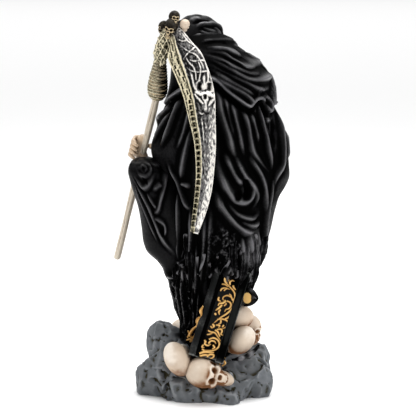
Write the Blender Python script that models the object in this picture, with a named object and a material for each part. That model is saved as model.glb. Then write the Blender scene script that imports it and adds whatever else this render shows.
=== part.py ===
"""Cloaked skeletal figure on a skull-strewn rock, cast in one piece, with a separate scythe in its left hand.

Metres, +Z up. The origin is the middle of the rock's flat underside. The figure looks along -Y, turned a
little to its left, so its back faces +Y. Free-form shapes are drawn in millimetres at the drawn height,
and DRAWN turns those into metres at FIGURE_HEIGHT. Outlines and folds are laid out on the back view,
in the pixels of a 416-pixel picture, which on_back() turns into places on the figure.
"""

import math

import bmesh
import bpy
import numpy as np
from mathutils import Matrix, Vector, noise

# Driving sizes
FIGURE_HEIGHT = 0.285
BASE_WIDTH = 0.094
BASE_DEPTH = 0.092
BASE_THICKNESS = 0.013
SKULL_LENGTH = 0.0245
BOOK_HEIGHT = 0.070
BOOK_WIDTH = 0.040
BOOK_THICKNESS = 0.0265
BOARD_THICKNESS = 0.0035
BOARD_OVERHANG = 0.0015
SPINE_DEPTH = 0.0045
SPINE_RELIEF = 0.0011
BAND_WIDTH = 0.0058
RAIL_DIAMETER = 0.0056
SHAFT_LENGTH = 0.192
SHAFT_DIAMETER = 0.0052
COLLAR_DIAMETER = 0.0155
SOCKET_DIAMETER = 0.0115
BLADE_THICKNESS = 0.0062
EDGE_THICKNESS = 0.0012
SHAFT_UNEVENNESS = 0.05
SHAFT_TOP_SHARE = 0.22
FINIAL_SKULL_LENGTH = 0.0125
FINGER_DIAMETER = 0.0034
CLEARANCE = 0.0003

# Drawing scale
DRAWN_HEIGHT_MM = 285.0
DRAWN = FIGURE_HEIGHT / DRAWN_HEIGHT_MM

# Back view that the outlines are laid out on: its eye, and its frame in pixels
EYE_DISTANCE_MM = 1100.0
EYE_HEIGHT_MM = 330.0
EYE_TILT = math.radians(9.76)
FOCAL_PX = 1479.0
CENTRE_PX = 208.0


def on_back(px, py, depth=0.0):
    """Returns (x, z) in drawn millimetres of a back-view pixel, on the upright plane at y = depth."""
    angle = EYE_TILT + np.arctan((np.asarray(py, float) - CENTRE_PX) / FOCAL_PX)
    run = EYE_DISTANCE_MM - depth
    z = EYE_HEIGHT_MM - run * np.tan(angle)
    away = run * math.cos(EYE_TILT) + (EYE_HEIGHT_MM - z) * math.sin(EYE_TILT)
    return (CENTRE_PX - np.asarray(px, float)) / FOCAL_PX * away, z


def spot(px, py, depth):
    """Returns a back-view pixel at a depth as a point in drawn millimetres."""
    x, z = on_back(px, py, depth)
    return np.array([float(x), depth, float(z)])


def smooth_step(value, low, high):
    t = np.clip((value - low) / (high - low), 0.0, 1.0)
    return t * t * (3.0 - 2.0 * t)


def through(points, count):
    """Returns count points on a smooth curve through the given ones."""
    knots = np.asarray(points, float)
    if len(knots) == 2:
        return knots[0] + np.linspace(0.0, 1.0, count)[:, None] * (knots[1] - knots[0])
    padded = np.vstack([2 * knots[0] - knots[1], knots, 2 * knots[-1] - knots[-2]])
    place = np.linspace(0.0, len(knots) - 1.0, count)
    span = np.minimum(place.astype(int), len(knots) - 2)
    t = (place - span)[:, None]
    a, b, c, d = (padded[span + k] for k in range(4))
    return 0.5 * (
        2 * b + (c - a) * t + (2 * a - 5 * b + 4 * c - d) * t**2 + (3 * b - a - 3 * c + d) * t**3
    )


def between(rows, places, at):
    """Returns rows of values, known at rising places, smoothly at other places."""
    rows = np.asarray(rows, float)
    places = np.asarray(places, float)
    slopes = np.gradient(rows, places, axis=0)
    span = np.clip(np.searchsorted(places, at) - 1, 0, len(places) - 2)
    gap = (places[span + 1] - places[span])[:, None]
    t = np.clip((at - places[span])[:, None] / gap, 0.0, 1.0)
    return (
        rows[span] * (2 * t**3 - 3 * t**2 + 1)
        + slopes[span] * gap * (t**3 - 2 * t**2 + t)
        + rows[span + 1] * (3 * t**2 - 2 * t**3)
        + slopes[span + 1] * gap * (t**3 - t**2)
    )


# The robe's outline, top to bottom: back-view row, left edge, right edge (pixels), back and front (mm)
ROBE = (
    (30, 190, 216, 8, -18),
    (37, 183, 226, 16, -24),
    (45, 178, 237, 24, -27),
    (53, 174, 249, 29, -28),
    (61, 172, 260, 32, -29),
    (69, 171, 269, 34, -30),
    (80, 170, 274, 36, -31),
    (94, 167, 277, 37, -33),
    (110, 160, 282, 37, -34),
    (130, 153, 287, 37, -35),
    (147, 148, 290, 37, -36),
    (165, 152, 289, 37, -37),
    (184, 158, 283, 38, -38),
    (206, 160, 277, 38, -39),
    (232, 160, 271, 36, -40),
    (252, 161, 265, 34, -40),
    (268, 163, 259, 31, -39),
    (283, 167, 256, 25, -38),
    (300, 172, 253, 20, -37),
    (322, 175, 250, 18, -36),
    (345, 175, 248, 17, -35),
    (370, 176, 246, 16, -34),
)
# The left sleeve's drape, in the same form
SLEEVE = (
    (156.5, 138, 149, 8, -3),
    (159, 133, 158, 16, -7),
    (162, 130.5, 163, 21, -10),
    (168, 128.7, 169, 25, -12),
    (180, 131, 178, 29, -14),
    (205, 139, 184, 32, -12),
    (226, 142.5, 186, 32, -10),
    (240, 144.5, 185, 31, -8),
    (248, 148, 183, 29, -6),
    (256, 157, 181, 26, -2),
    (264, 163, 178, 22, 2),
    (274, 168, 176, 18, 6),
)
# The right sleeve, elbow to mouth: middle of each ring, then its half width, rise and drop (mm)
RIGHT_SLEEVE = (
    ((-49, 4, 184), 8, 9, 14),
    ((-51, -6, 181), 12, 12, 21),
    ((-50, -16, 181), 13, 12.5, 26),
    ((-44, -27, 183), 13, 12, 30),
    ((-36, -36, 186), 13, 12, 33),
    ((-30, -42, 188), 12.5, 12, 35),
    ((-29, -42, 187), 10.5, 9.5, 31),
    ((-34, -35, 184), 9, 8, 24),
    ((-38, -30, 182), 5, 5, 12),
)
RIGHT_SLEEVE_TOWARD = (0.62, -0.76, 0.18)
ROBE_ROUND_MM = 45.0
FOLD_DEPTH_MM = 30.0

# Folds: height and half width of the crest (mm), then the back-view pixels that the crest runs through
BACK_FOLDS = (
    (3.2, 6.5, ((196, 47), (215, 45.5), (226, 49), (240, 55), (252, 55))),
    (3.4, 5.5, ((198, 51), (217, 51), (232, 58), (246, 66), (257, 64), (260, 58))),
    (4.2, 7.0, ((200, 56), (218, 59), (232, 68), (246, 76), (260, 79), (274, 75))),
    (4.2, 6.5, ((200, 62), (213, 65), (230, 74), (246, 83), (260, 89), (274, 90))),
    (4.4, 6.0, ((202, 68), (216, 74), (232, 85), (248, 96), (257, 101))),
    (4.0, 6.0, ((262, 61), (269, 67), (274, 80), (278, 95), (276, 110), (268, 121))),
    (3.0, 6.0, ((218, 92), (222, 108), (228, 130), (234, 152), (240, 168))),
    (3.2, 5.5, ((231, 100), (236, 124), (241, 147), (248, 170))),
    (3.2, 5.5, ((244, 108), (249, 132), (254, 154), (262, 168), (270, 175))),
    (2.6, 5.0, ((252, 112), (257, 138), (262, 152))),
    (3.2, 5.5, ((262, 120), (268, 140), (272, 160), (275, 182), (274, 205), (268, 232))),
    (3.0, 5.0, ((281, 120), (284, 145), (282, 165), (277, 178))),
    (4.2, 7.0, ((216, 156), (226, 180), (236, 198), (246, 201), (254, 192), (253, 180))),
    (4.0, 7.0, ((216, 186), (226, 206), (240, 222), (254, 228), (264, 214), (267, 194))),
    (3.0, 6.0, ((250, 160), (262, 178), (268, 196))),
    (3.0, 6.0, ((182, 100), (176, 124), (166, 148))),
    (3.0, 5.0, ((193, 138), (186, 152), (181, 168), (178, 184))),
    (3.0, 5.0, ((163, 158), (172, 174), (179, 190), (186, 206))),
    (3.4, 6.0, ((175, 186), (176, 215), (177, 262))),
    (3.0, 6.0, ((191, 200), (190, 240), (184, 270))),
    (3.0, 6.0, ((205, 206), (206, 240), (204, 275))),
    (3.4, 7.0, ((262, 236), (257, 262), (255, 288))),
    (2.8, 5.0, ((248, 234), (247, 258), (243, 284))),
    (2.6, 5.0, ((228, 228), (226, 250), (228, 274))),
    (3.0, 5.0, ((168, 266), (173, 292), (178, 316), (180, 340))),
    (3.0, 5.0, ((186, 268), (188, 296), (190, 330))),
)
SLEEVE_FOLDS = (
    (3.0, 4.5, ((131, 178), (140, 196), (150, 214), (160, 232), (172, 250))),
    (2.6, 4.0, ((135, 177), (146, 192), (156, 206))),
    (2.6, 4.0, ((165, 168), (164, 190), (159, 206), (153, 216))),
    (2.6, 4.0, ((158, 165), (155, 177), (148, 186), (141, 184))),
    (2.6, 4.0, ((132, 165), (139, 158), (148, 160), (151, 168), (145, 175), (137, 171))),
)
# Hem of the short mantle: back-view pixels, and its height round the hidden front (mm)
MANTLE_HEM = (
    (170, 100), (182, 92), (200, 82), (215, 82), (226, 92), (238, 101), (250, 108.5), (256, 102),
    (262, 101), (270, 111), (277, 107), (281, 103),
)
MANTLE_FRONT_MM = 222.0
MANTLE_DIP_MM = 4.0
# Ragged hem of the outer robe over the skirt: middle height, depth of its tongues and how many go round
OUTER_HEM_MM = 88.0
TONGUE_DEPTH_MM = 9.0
TONGUES = 23
MANTLE_STEP_MM = 1.2
OUTER_STEP_MM = 2.2
FOLD_ALLOWANCE_MM = 2.7

# Folds of the hidden front, which hang from the neck and the belt: angle from the left side (degrees)
FRONT_FOLD_ANGLES = (-20, -38, -54, -70, -88, -106, -122, -140, -158)
FRONT_FOLD_HEIGHT_MM = 3.0
FRONT_FOLD_WIDTH_MM = 6.0


class Drape:
    """A hanging cloth form: oval sections from an outline table, carved with folds."""

    def __init__(self, outline, folds=(), front_folds=False):
        table = np.asarray(outline, float)
        left, height = on_back(table[:, 1], table[:, 0])
        right, _ = on_back(table[:, 2], table[:, 0])
        order = np.argsort(height)
        self.heights = height[order]
        self.rows = np.column_stack([left, right, table[:, 3], table[:, 4]])[order]
        self.folds = [(h, w, self.crest(points)) for h, w, points in folds]
        if front_folds:
            self.folds += [self.front_crest(k, angle) for k, angle in enumerate(FRONT_FOLD_ANGLES)]

    def section(self, heights):
        left, right, back, front = between(self.rows, self.heights, heights).T
        return (left + right) / 2, (left - right) / 2, (back + front) / 2, (back - front) / 2

    def crest(self, points):
        """Turns the pixels of a crest into (arc, height) on the unrolled cloth."""
        line = through(points, 8 * len(points))
        x, z = on_back(line[:, 0], line[:, 1], FOLD_DEPTH_MM)
        middle, half, _, _ = self.section(z)
        angle = np.arccos(np.clip((x - middle) / half, -1.0, 1.0))
        return np.column_stack([angle * ROBE_ROUND_MM, z])

    def front_crest(self, index, degrees):
        low, high = self.heights[0] + 20.0, self.heights[-1] - (28.0 if index % 2 else 60.0)
        sway = 3.0 * math.sin(1.7 * index)
        line = through(
            (
                (math.radians(degrees * 0.9 - 9) * ROBE_ROUND_MM, high),
                (math.radians(degrees) * ROBE_ROUND_MM + sway, (low + high) / 2),
                (math.radians(degrees) * ROBE_ROUND_MM - sway, low),
            ),
            24,
        )
        return FRONT_FOLD_HEIGHT_MM, FRONT_FOLD_WIDTH_MM, line

    def relief(self, arc, height):
        """Returns how far the folds stand out at places on the unrolled cloth."""
        total = np.zeros_like(arc)
        for crest_height, width, line in self.folds:
            start, along = line[:-1], np.diff(line, axis=0)
            best = np.full(arc.shape, 1e9)
            place = np.zeros_like(arc)
            for k, (origin, step) in enumerate(zip(start, along)):
                length2 = max(step @ step, 1e-9)
                t = np.clip(((arc - origin[0]) * step[0] + (height - origin[1]) * step[1]) / length2, 0, 1)
                gap = np.hypot(arc - origin[0] - t * step[0], height - origin[1] - t * step[1])
                nearer = gap < best
                best = np.where(nearer, gap, best)
                place = np.where(nearer, (k + t) / len(start), place)
            side = np.clip(1.0 - np.sqrt(best**2 + 0.8) / width, 0.0, 1.0)
            taper = smooth_step(place, -0.05, 0.18) * smooth_step(place, 1.05, 0.82)
            total = np.maximum(total, crest_height * side**1.5 * taper)
        return total

    def layers(self, arc, height):
        """Returns how far the overlying cloths stand out: the mantle, and the outer robe with its tongues."""
        round_mm = 2 * math.pi * ROBE_ROUND_MM
        seen = self.crest(MANTLE_HEM)
        front = np.linspace(-0.93, -0.07, 17)
        arcs = np.concatenate([front * math.pi * ROBE_ROUND_MM, seen[:, 0]])
        tops = np.concatenate([MANTLE_FRONT_MM + MANTLE_DIP_MM * np.sin(front * math.pi * 5), seen[:, 1]])
        order = np.argsort(arcs)
        hem = np.interp(arc, arcs[order], tops[order], period=round_mm)
        turn = arc / round_mm * TONGUES
        tongue = np.abs((turn + 0.22 * np.sin(5.3 * turn)) % 1.0 - 0.5) * 2.0
        depth = TONGUE_DEPTH_MM * (0.7 + 0.5 * np.sin(2.9 * turn))
        ragged = OUTER_HEM_MM + depth * (tongue - 0.5) + 5.0 * np.sin(arc / 31.0)
        mantle = MANTLE_STEP_MM * smooth_step(height, hem - 1.0, hem + 1.0)
        return mantle + OUTER_STEP_MM * smooth_step(height, ragged - 1.0, ragged + 1.0)

    def rings(self, columns, rows, layered=False):
        """Returns the rings of points of the carved form, bottom to top, in drawn millimetres."""
        heights = np.linspace(self.heights[0], self.heights[-1], rows)
        angles = np.linspace(-math.pi, math.pi, columns, endpoint=False)
        theta, z = np.meshgrid(angles, heights)
        middle, half, centre, depth = (v[:, None] for v in self.section(heights))
        x = middle + half * np.sign(np.cos(theta)) * np.abs(np.cos(theta)) ** 0.92
        y = centre + depth * np.sign(np.sin(theta)) * np.abs(np.sin(theta)) ** 0.92
        out = np.stack([np.cos(theta) / half, np.sin(theta) / depth], axis=-1)
        out /= np.linalg.norm(out, axis=-1, keepdims=True)
        lift = self.relief(theta * ROBE_ROUND_MM, z)
        if layered:
            lift += self.layers(theta * ROBE_ROUND_MM, z) - FOLD_ALLOWANCE_MM
        return np.stack([x + out[..., 0] * lift, y + out[..., 1] * lift, z], axis=-1)


def link(obj, group):
    group.objects.link(obj)
    return obj


def mesh_object(name, mesh, group):
    made = bpy.data.meshes.new(name)
    mesh.to_mesh(made)
    mesh.free()
    return link(bpy.data.objects.new(name, made), group)


def loft(name, rings, group, scale=None):
    """A closed form through rings of points in drawn millimetres, fanned shut at both ends."""
    rings = np.asarray(rings, float) * (DRAWN if scale is None else scale)
    rows, columns = rings.shape[:2]
    mesh = bmesh.new()
    grid = [[mesh.verts.new(point) for point in ring] for ring in rings]
    for r in range(rows - 1):
        for c in range(columns):
            d = (c + 1) % columns
            mesh.faces.new((grid[r][c], grid[r][d], grid[r + 1][d], grid[r + 1][c]))
    for ring, turn in ((grid[0], -1), (grid[-1], 1)):
        middle = mesh.verts.new(sum((v.co for v in ring), Vector()) / columns)
        for c in range(columns):
            mesh.faces.new((ring[c], ring[(c + 1) % columns], middle)[::turn])
    bmesh.ops.recalc_face_normals(mesh, faces=mesh.faces)
    return mesh_object(name, mesh, group)


def thin(obj, ratio):
    """Spends the form's triangles where its folds are."""
    decimate = obj.modifiers.new("thin", "DECIMATE")
    decimate.ratio = ratio
    return obj


def tube(name, points, radii, group, sides=8, scale=None):
    """A round bar of changing radius along a curve, in drawn millimetres."""
    line = np.asarray(points, float)
    radii = np.broadcast_to(np.asarray(radii, float), (len(line),))
    along = np.gradient(line, axis=0)
    along /= np.linalg.norm(along, axis=1, keepdims=True)
    side = np.cross(along[0], (0.31, 0.87, 0.38))
    rings = []
    for point, radius, forward in zip(line, radii, along):
        side = side - (side @ forward) * forward
        side /= np.linalg.norm(side)
        other = np.cross(forward, side)
        turn = np.linspace(0, 2 * math.pi, sides, endpoint=False)[:, None]
        rings.append(point + radius * (np.cos(turn) * side + np.sin(turn) * other))
    return loft(name, rings, group, scale)


def reach(directions, centre, radii):
    """Returns how far rays from the origin run before they leave an ellipsoid, or 0 where they miss it."""
    radii = np.asarray(radii, float)
    ray = directions / radii
    start = -np.asarray(centre, float) / radii
    a = (ray**2).sum(-1)
    b = (ray * start).sum(-1)
    inside = b**2 - a * ((start**2).sum() - 1.0)
    return np.where(inside > 0, (-b + np.sqrt(np.maximum(inside, 0.0))) / a, 0.0)


# A skull 1 long, whose face looks along +X and crown along +Z: its masses, all round its middle, as middle
# and radii: cranium, brow, two cheekbones, upper jaw and chin
SKULL_MASSES = (
    ((-0.10, 0.0, 0.14), (0.50, 0.39, 0.43)),
    ((0.14, 0.0, 0.08), (0.30, 0.30, 0.15)),
    ((0.09, 0.12, -0.09), (0.27, 0.21, 0.15)),
    ((0.09, -0.12, -0.09), (0.27, 0.21, 0.15)),
    ((0.14, 0.0, -0.20), (0.29, 0.18, 0.28)),
    ((0.10, 0.0, -0.30), (0.27, 0.20, 0.36)),
)
# Its hollows as direction, spread and depth: eyes, nose, temples and cheeks
SKULL_HOLLOWS = (
    ((0.40, 0.17, 0.0), 0.23, 0.13),
    ((0.40, -0.17, 0.0), 0.23, 0.13),
    ((0.42, 0.0, -0.16), 0.14, 0.09),
    ((0.20, 0.34, 0.04), 0.22, 0.05),
    ((0.20, -0.34, 0.04), 0.22, 0.05),
    ((0.18, 0.22, -0.34), 0.24, 0.05),
    ((0.18, -0.22, -0.34), 0.24, 0.05),
)


def skull_radius(directions):
    """Returns the skull's surface distance from its middle in each direction, for a skull 1 long."""
    far = np.max([reach(directions, *mass) for mass in SKULL_MASSES], axis=0)
    for toward, spread, depth in SKULL_HOLLOWS:
        aim = np.asarray(toward) / np.linalg.norm(toward)
        gap = np.linalg.norm(directions - aim, axis=-1)
        far = far - depth * np.exp(-((gap / spread) ** 2))
    return far


def skull(name, place, facing, crown, length, group, ratio=0.15):
    """A skull at a place in metres, whose face and crown point along the given directions."""
    mesh = bmesh.new()
    bmesh.ops.create_icosphere(mesh, subdivisions=4, radius=1.0)
    forward = Vector(facing).normalized()
    side = Vector(crown).cross(forward).normalized()
    frame = Matrix((forward, side, forward.cross(side))).transposed()
    directions = np.array([vert.co.normalized() for vert in mesh.verts])
    for vert, direction, far in zip(mesh.verts, directions, skull_radius(directions)):
        vert.co = frame @ (Vector(direction) * float(far) * length) + Vector(place)
    return thin(mesh_object(name, mesh, group), ratio)


def metres(point):
    return Vector(point) * DRAWN


# The boulders: middle as shares of the base's half width and half depth, height of the middle and radii (mm)
BOULDERS = (
    ((0.80, 0.17), 12, (17, 22, 17)),
    ((0.70, -0.32), 33, (16, 18, 16)),
    ((-0.66, 0.26), 12, (17, 22, 20)),
    ((-0.78, -0.16), 26, (11, 15, 14)),
    ((0.42, -0.66), 12, (24, 16, 16)),
    ((-0.48, -0.62), 14, (20, 18, 17)),
    ((0.02, -0.08), 15, (39, 33, 21)),
)
BASE_CORNERS = (
    (0.95, 0.0), (0.80, 0.40), (0.50, 0.66), (0.10, 0.84), (-0.32, 1.02), (-0.50, 0.99), (-0.66, 0.76),
    (-0.92, 0.22), (-0.98, -0.30), (-0.74, -0.78), (-0.12, -1.0), (0.45, -0.92), (0.90, -0.48),
)
ROCK_GRAIN_MM = 11.0
ROCK_ROUGHNESS = 0.16


def rugged(direction, radii):
    """Returns how much a boulder swells in a direction, by uneven noise at the scale of its grain."""
    place = Vector([c * r / ROCK_GRAIN_MM for c, r in zip(direction, radii)]) + Vector(radii)
    return 1.0 + ROCK_ROUGHNESS * (noise.noise(place) + 0.5 * noise.noise(place * 2.3))


def base_rock(group):
    """The rock: a slab with uneven corners and the boulders on it, in one list of solids."""
    half_width, half_depth = BASE_WIDTH / 2, BASE_DEPTH / 2
    corners = np.array([(x * half_width, y * half_depth) for x, y in BASE_CORNERS])
    levels = ((0.0, 0.97), (0.35, 1.0), (0.75, 0.96), (1.0, 0.84))
    rings = [
        np.column_stack([corners * spread, np.full(len(corners), BASE_THICKNESS * level)])
        for level, spread in levels
    ]
    solids = [loft("rock_slab", rings, group, scale=1.0)]
    for number, ((across, deep), height, radii) in enumerate(BOULDERS):
        mesh = bmesh.new()
        bmesh.ops.create_icosphere(mesh, subdivisions=4, radius=1.0)
        middle = Vector((across * half_width, deep * half_depth, height * DRAWN))
        for vert in mesh.verts:
            corner = [math.copysign(abs(c) ** 0.85, c) for c in vert.co]
            swell = rugged(vert.co, radii) * DRAWN
            vert.co = Vector([c * r * swell for c, r in zip(corner, radii)]) + middle
        boulder = mesh_object(f"boulder_{number + 1}", mesh, group)
        solids.append(thin(boulder, 0.03))
    return solids


# The skulls round the feet: share of the base's half width and depth, height (mm), facing, crown, size share
SKULL_HEAP = (
    ((0.47, 0.64), 31.5, (0.12, -0.30, -0.94), (0.15, 0.93, -0.30), 1.14),
    ((0.14, 0.80), 22, (-0.30, 0.93, 0.20), (0.86, 0.20, 0.46), 1.12),
    ((-0.56, 0.28), 60, (-0.75, -0.55, -0.25), (-0.1, 0.45, 0.85), 0.92),
    ((-0.54, 0.44), 42, (0.45, -0.30, -0.85), (-0.35, 0.80, 0.30), 0.98),
    ((-0.78, 0.06), 49, (-0.93, 0.30, -0.1), (-0.1, 0.1, 0.95), 0.86),
    ((0.44, -0.80), 32, (0.25, -0.95, 0.0), (0.1, 0.1, 1.0), 1.0),
    ((-0.06, -0.86), 27, (-0.15, -0.95, 0.1), (-0.25, 0.1, 0.95), 1.05),
    ((-0.58, -0.66), 36, (-0.60, -0.75, 0.0), (0.2, 0.1, 1.0), 1.0),
    ((0.16, -0.76), 48, (0.10, -0.90, -0.2), (-0.3, 0.0, 1.0), 0.9),
)


def skull_heap(group):
    solids = []
    for number, ((across, deep), height, facing, crown, share) in enumerate(SKULL_HEAP):
        place = (across * BASE_WIDTH / 2, deep * BASE_DEPTH / 2, height * DRAWN)
        solids.append(
            skull(f"heap_skull_{number + 1}", place, facing, crown, SKULL_LENGTH * share, group, 0.05)
        )
    return solids


# The book stands on its tail behind the feet and leans on the robe
BOOK_FOOT_MM = (2.0, 41.0, 35.0)
BOOK_LEAN = (-0.295, -0.259, 0.919)
BOOK_SPINE_TOWARD = (0.06, 0.96, 0.28)
RAIL_STOPS = (-0.01, 0.5, 1.01)


def book_frame():
    up = Vector(BOOK_LEAN).normalized()
    out = Vector(BOOK_SPINE_TOWARD)
    out = (out - out.dot(up) * up).normalized()
    side = out.cross(up)
    return Matrix.Translation(metres(BOOK_FOOT_MM)) @ Matrix((side, out, up)).transposed().to_4x4()


def box(name, low, high, frame, group):
    mesh = bmesh.new()
    bmesh.ops.create_cube(mesh, size=1.0)
    low, high = Vector(low), Vector(high)
    for vert in mesh.verts:
        vert.co = Vector([l + (c + 0.5) * (h - l) for c, l, h in zip(vert.co, low, high)])
    mesh.transform(frame)
    return mesh_object(name, mesh, group)


def book(group):
    """The book: two boards, a page block, and a spine panel between a round rail and a flat band."""
    half = BOOK_THICKNESS / 2
    frame = book_frame()
    lip, depth, tall = BOARD_OVERHANG, SPINE_DEPTH, BOOK_HEIGHT
    board = half - BOARD_THICKNESS
    pages_low = (-half + lip, lip - BOOK_WIDTH, lip)
    pages_high = (half - lip, -depth / 2, tall - lip)
    band_low = (-half - lip / 4, -depth, -lip / 4)
    round_off = RAIL_DIAMETER / 2
    rail = [frame @ Vector((half - round_off, -round_off, tall * share)) for share in RAIL_STOPS]
    return [
        box("page_block", pages_low, pages_high, frame, group),
        box("spine", (-half + lip, -depth, lip / 2), (half - lip, -SPINE_RELIEF, tall), frame, group),
        box("near_board", (board, -BOOK_WIDTH, 0), (half, -round_off, tall), frame, group),
        box("far_board", (-half, -BOOK_WIDTH, 0), (-board, -lip, tall), frame, group),
        box("band", band_low, (BAND_WIDTH - half, 0, tall + lip / 4), frame, group),
        tube("rail", [np.array(point) for point in rail], round_off, group, 12, 1.0),
    ]


# Torn strips of the outer robe that hang over the book and the skirt: back-view pixels and depth (mm)
STRIPS = (
    ((252, 234, 33), (256, 256, 31), (256, 274, 28), (252, 290, 26)),
    ((243, 238, 36), (246, 256, 34), (245, 272, 31), (240, 285, 29)),
    ((231, 230, 38), (233, 248, 36), (234, 264, 34), (236, 278, 32)),
    ((221, 226, 38), (222, 242, 36), (224, 256, 34), (222, 268, 33)),
    ((263, 230, 27), (264, 246, 25), (261, 260, 23), (257, 270, 22)),
    ((170, 238, 27), (171, 256, 24), (175, 272, 22), (174, 287, 20)),
    ((188, 234, 38), (189, 256, 35), (191, 274, 30), (189, 292, 24)),
)
STRIP_HALF_MM = 4.2
STRIP_THICKNESS_MM = 2.4


def strip(name, stations, group, rows=6, sides=6):
    """A torn strip of cloth that lies against the robe and narrows to a tip."""
    rings = []
    turns = np.linspace(0, 2 * math.pi, sides, endpoint=False)[:, None]
    for k, (px, py, depth) in enumerate(through(stations, rows)):
        share = k / (rows - 1)
        half = STRIP_HALF_MM * (1.0 - 0.8 * share**2)
        thick = STRIP_THICKNESS_MM * (1.0 - 0.4 * share)
        rings.append(spot(px, py, depth - 1.0) + np.cos(turns) * (half, 0, 0) + np.sin(turns) * (0, thick, 0))
    return loft(name, rings, group)


# The head: middle of the hood, the way it looks, and the hood's wall as (along the look, radius) in mm
HEAD_MM = (8.0, -12.0, 262.0)
LOOK = (0.30, -0.93, -0.16)
HOOD_PROFILE = (
    (1, 2), (2, 9), (7, 13.5), (13, 15.5), (18, 17.0), (21, 18.5),
    (18, 20.2), (11, 21.8), (3, 22.6), (-6, 21.8), (-14, 19.0), (-20, 14.0), (-24, 7.0), (-25, 1.5),
)
# Folds of the hood: where they run round it at the brow (degrees from its right side), slant and height (mm)
HOOD_FOLDS = ((150, 0.9, 2.2), (118, 0.8, 1.6), (60, -0.6, 1.6), (22, -0.9, 2.0), (-20, -0.5, 1.5))
HOOD_FOLD_WIDTH = 0.24
HOOD_SIDE_SHARE = 0.90
HOOD_PEAK_MM = 3.0
# The face inside the hood: its length and how far it lies ahead of the hood's middle (mm), and its crown
FACE_LENGTH_MM = 26.0
FACE_AHEAD_MM = 6.0
FACE_CROWN = (-0.05, -0.12, 1.0)
# The rolled cowl round the neck: its middle, its half widths, its drop to the left and its roll (mm)
COWL_MIDDLE_MM = (4.0, -3.0, 259.5)
COWL_RADII_MM = (21.0, 20.0)
COWL_DROP_MM = 2.0
COWL_ROLL_MM = (5.6, 5.2)


def hood(group, sides=56):
    """The hood: an open-fronted shell round the face, peaked at the brow and creased behind."""
    look = Vector(LOOK).normalized()
    side = look.cross(Vector((0, 0, 1))).normalized()
    up = side.cross(look)
    rings = []
    for along, radius in through(HOOD_PROFILE, 3 * len(HOOD_PROFILE)):
        ring = []
        for turn in np.linspace(0, 2 * math.pi, sides, endpoint=False):
            lift = max(0.0, math.sin(turn))
            push = along + HOOD_PEAK_MM * lift * smooth_step(along, -4, 18)
            spread = radius * (1.0 + 0.04 * math.sin(turn))
            for degrees, slant, height in HOOD_FOLDS:
                aim = math.radians(degrees) + slant * (18 - along) / 40
                gap = abs((turn - aim + math.pi) % (2 * math.pi) - math.pi)
                keep = smooth_step(radius, 17.5, 21)
                spread += keep * height * max(0.0, 1.0 - gap / HOOD_FOLD_WIDTH) ** 1.5
            ring.append(
                np.array(HEAD_MM)
                + np.array(look) * push
                + np.array(side) * spread * HOOD_SIDE_SHARE * math.cos(turn)
                + np.array(up) * spread * math.sin(turn)
            )
        rings.append(ring)
    return thin(loft("hood", rings, group), 0.13)


def cowl_ring(group, around=22, sides=7):
    mesh = bmesh.new()
    wide, deep = COWL_RADII_MM
    roll, rise = COWL_ROLL_MM
    grid = []
    for turn in np.linspace(0, 2 * math.pi, around, endpoint=False):
        away = np.array([math.cos(turn), math.sin(turn), 0.0])
        middle = np.array(COWL_MIDDLE_MM) + away * (wide, deep, 0) - (0, 0, COWL_DROP_MM * math.cos(turn))
        ring = []
        for bend in np.linspace(0, 2 * math.pi, sides, endpoint=False):
            offset = roll * math.cos(bend) * away + np.array([0, 0, rise * math.sin(bend)])
            ring.append(mesh.verts.new((middle + offset) * DRAWN))
        grid.append(ring)
    for a in range(around):
        for s in range(sides):
            b, t = (a + 1) % around, (s + 1) % sides
            mesh.faces.new((grid[a][s], grid[b][s], grid[b][t], grid[a][t]))
    bmesh.ops.recalc_face_normals(mesh, faces=mesh.faces)
    return mesh_object("cowl", mesh, group)


# The scythe: the ends of its shaft's axis, drawn millimetres
SHAFT_FOOT_MM = (70.9, -27.0, 96.3)
SHAFT_HEAD_MM = (25.2, 25.0, 275.6)
# Its collar and bone socket, foot to head: back-view pixel, depth (mm) and share of the named diameter
COLLAR = (
    ((156.4, 99.5), 9.4, 0.42), ((156.8, 96.5), 10.2, 0.80), ((157.4, 91), 11.5, 1.0),
    ((158, 82), 13.5, 0.97), ((159, 72), 15.7, 0.82), ((160, 62), 17.8, 0.64), ((160.6, 58), 18.6, 0.50),
)
SOCKET = (
    ((160.2, 63), 17.6, 0.70), ((161, 55), 19.3, 1.0), ((163, 46), 21.2, 1.0), ((166, 37), 23.0, 0.92),
    ((169.5, 29), 24.6, 0.80), ((171, 24), 25.4, 0.45),
)
# The finial skulls: back-view pixel and depth of the middle, facing, size share
FINIALS = (
    ((170.5, 28), 28.0, (0.25, 0.93, -0.25), 1.0),
    ((174.5, 18.5), 27.0, (-0.3, 0.9, 0.1), 0.82),
    ((184.0, 26.5), 27.0, (-0.6, -0.7, 0.0), 0.80),
    ((163.0, 27), 24.0, (0.9, 0.3, 0.0), 0.66),
)
# The blade, root to tip: pixels of its spine strip's back, of the strip's rim and of the cutting edge, and
# its depth (mm)
BLADE = (
    ((164, 40), (167, 34), (174, 30), 26.5),
    ((170, 42), (173, 35), (181, 29), 29.5),
    ((169, 50), (176, 46), (192, 42), 33),
    ((168, 59), (180, 57), (202, 54), 37),
    ((176, 78), (187, 78), (211, 77), 42),
    ((183, 96), (192.5, 96), (215, 97), 45),
    ((188.5, 118), (196, 118), (215.5, 118), 46),
    ((194, 142), (200, 142), (216, 142), 46),
    ((196, 168), (201, 168), (214.5, 168), 46),
    ((195, 192), (199, 192), (211.5, 192), 45),
    ((192.5, 214), (196, 214), (206, 213), 44),
    ((190.5, 231), (193.5, 233), (198, 234), 43),
)
BLADE_ROOM_MM = 0.8


def shaft_axis():
    foot, head = Vector(SHAFT_FOOT_MM) * DRAWN, Vector(SHAFT_HEAD_MM) * DRAWN
    return head, (head - foot).normalized()


def shaft_points(*places):
    """Points at distances down the shaft from its head, in metres."""
    head, up = shaft_axis()
    return [head - up * place for place in places]


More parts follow.
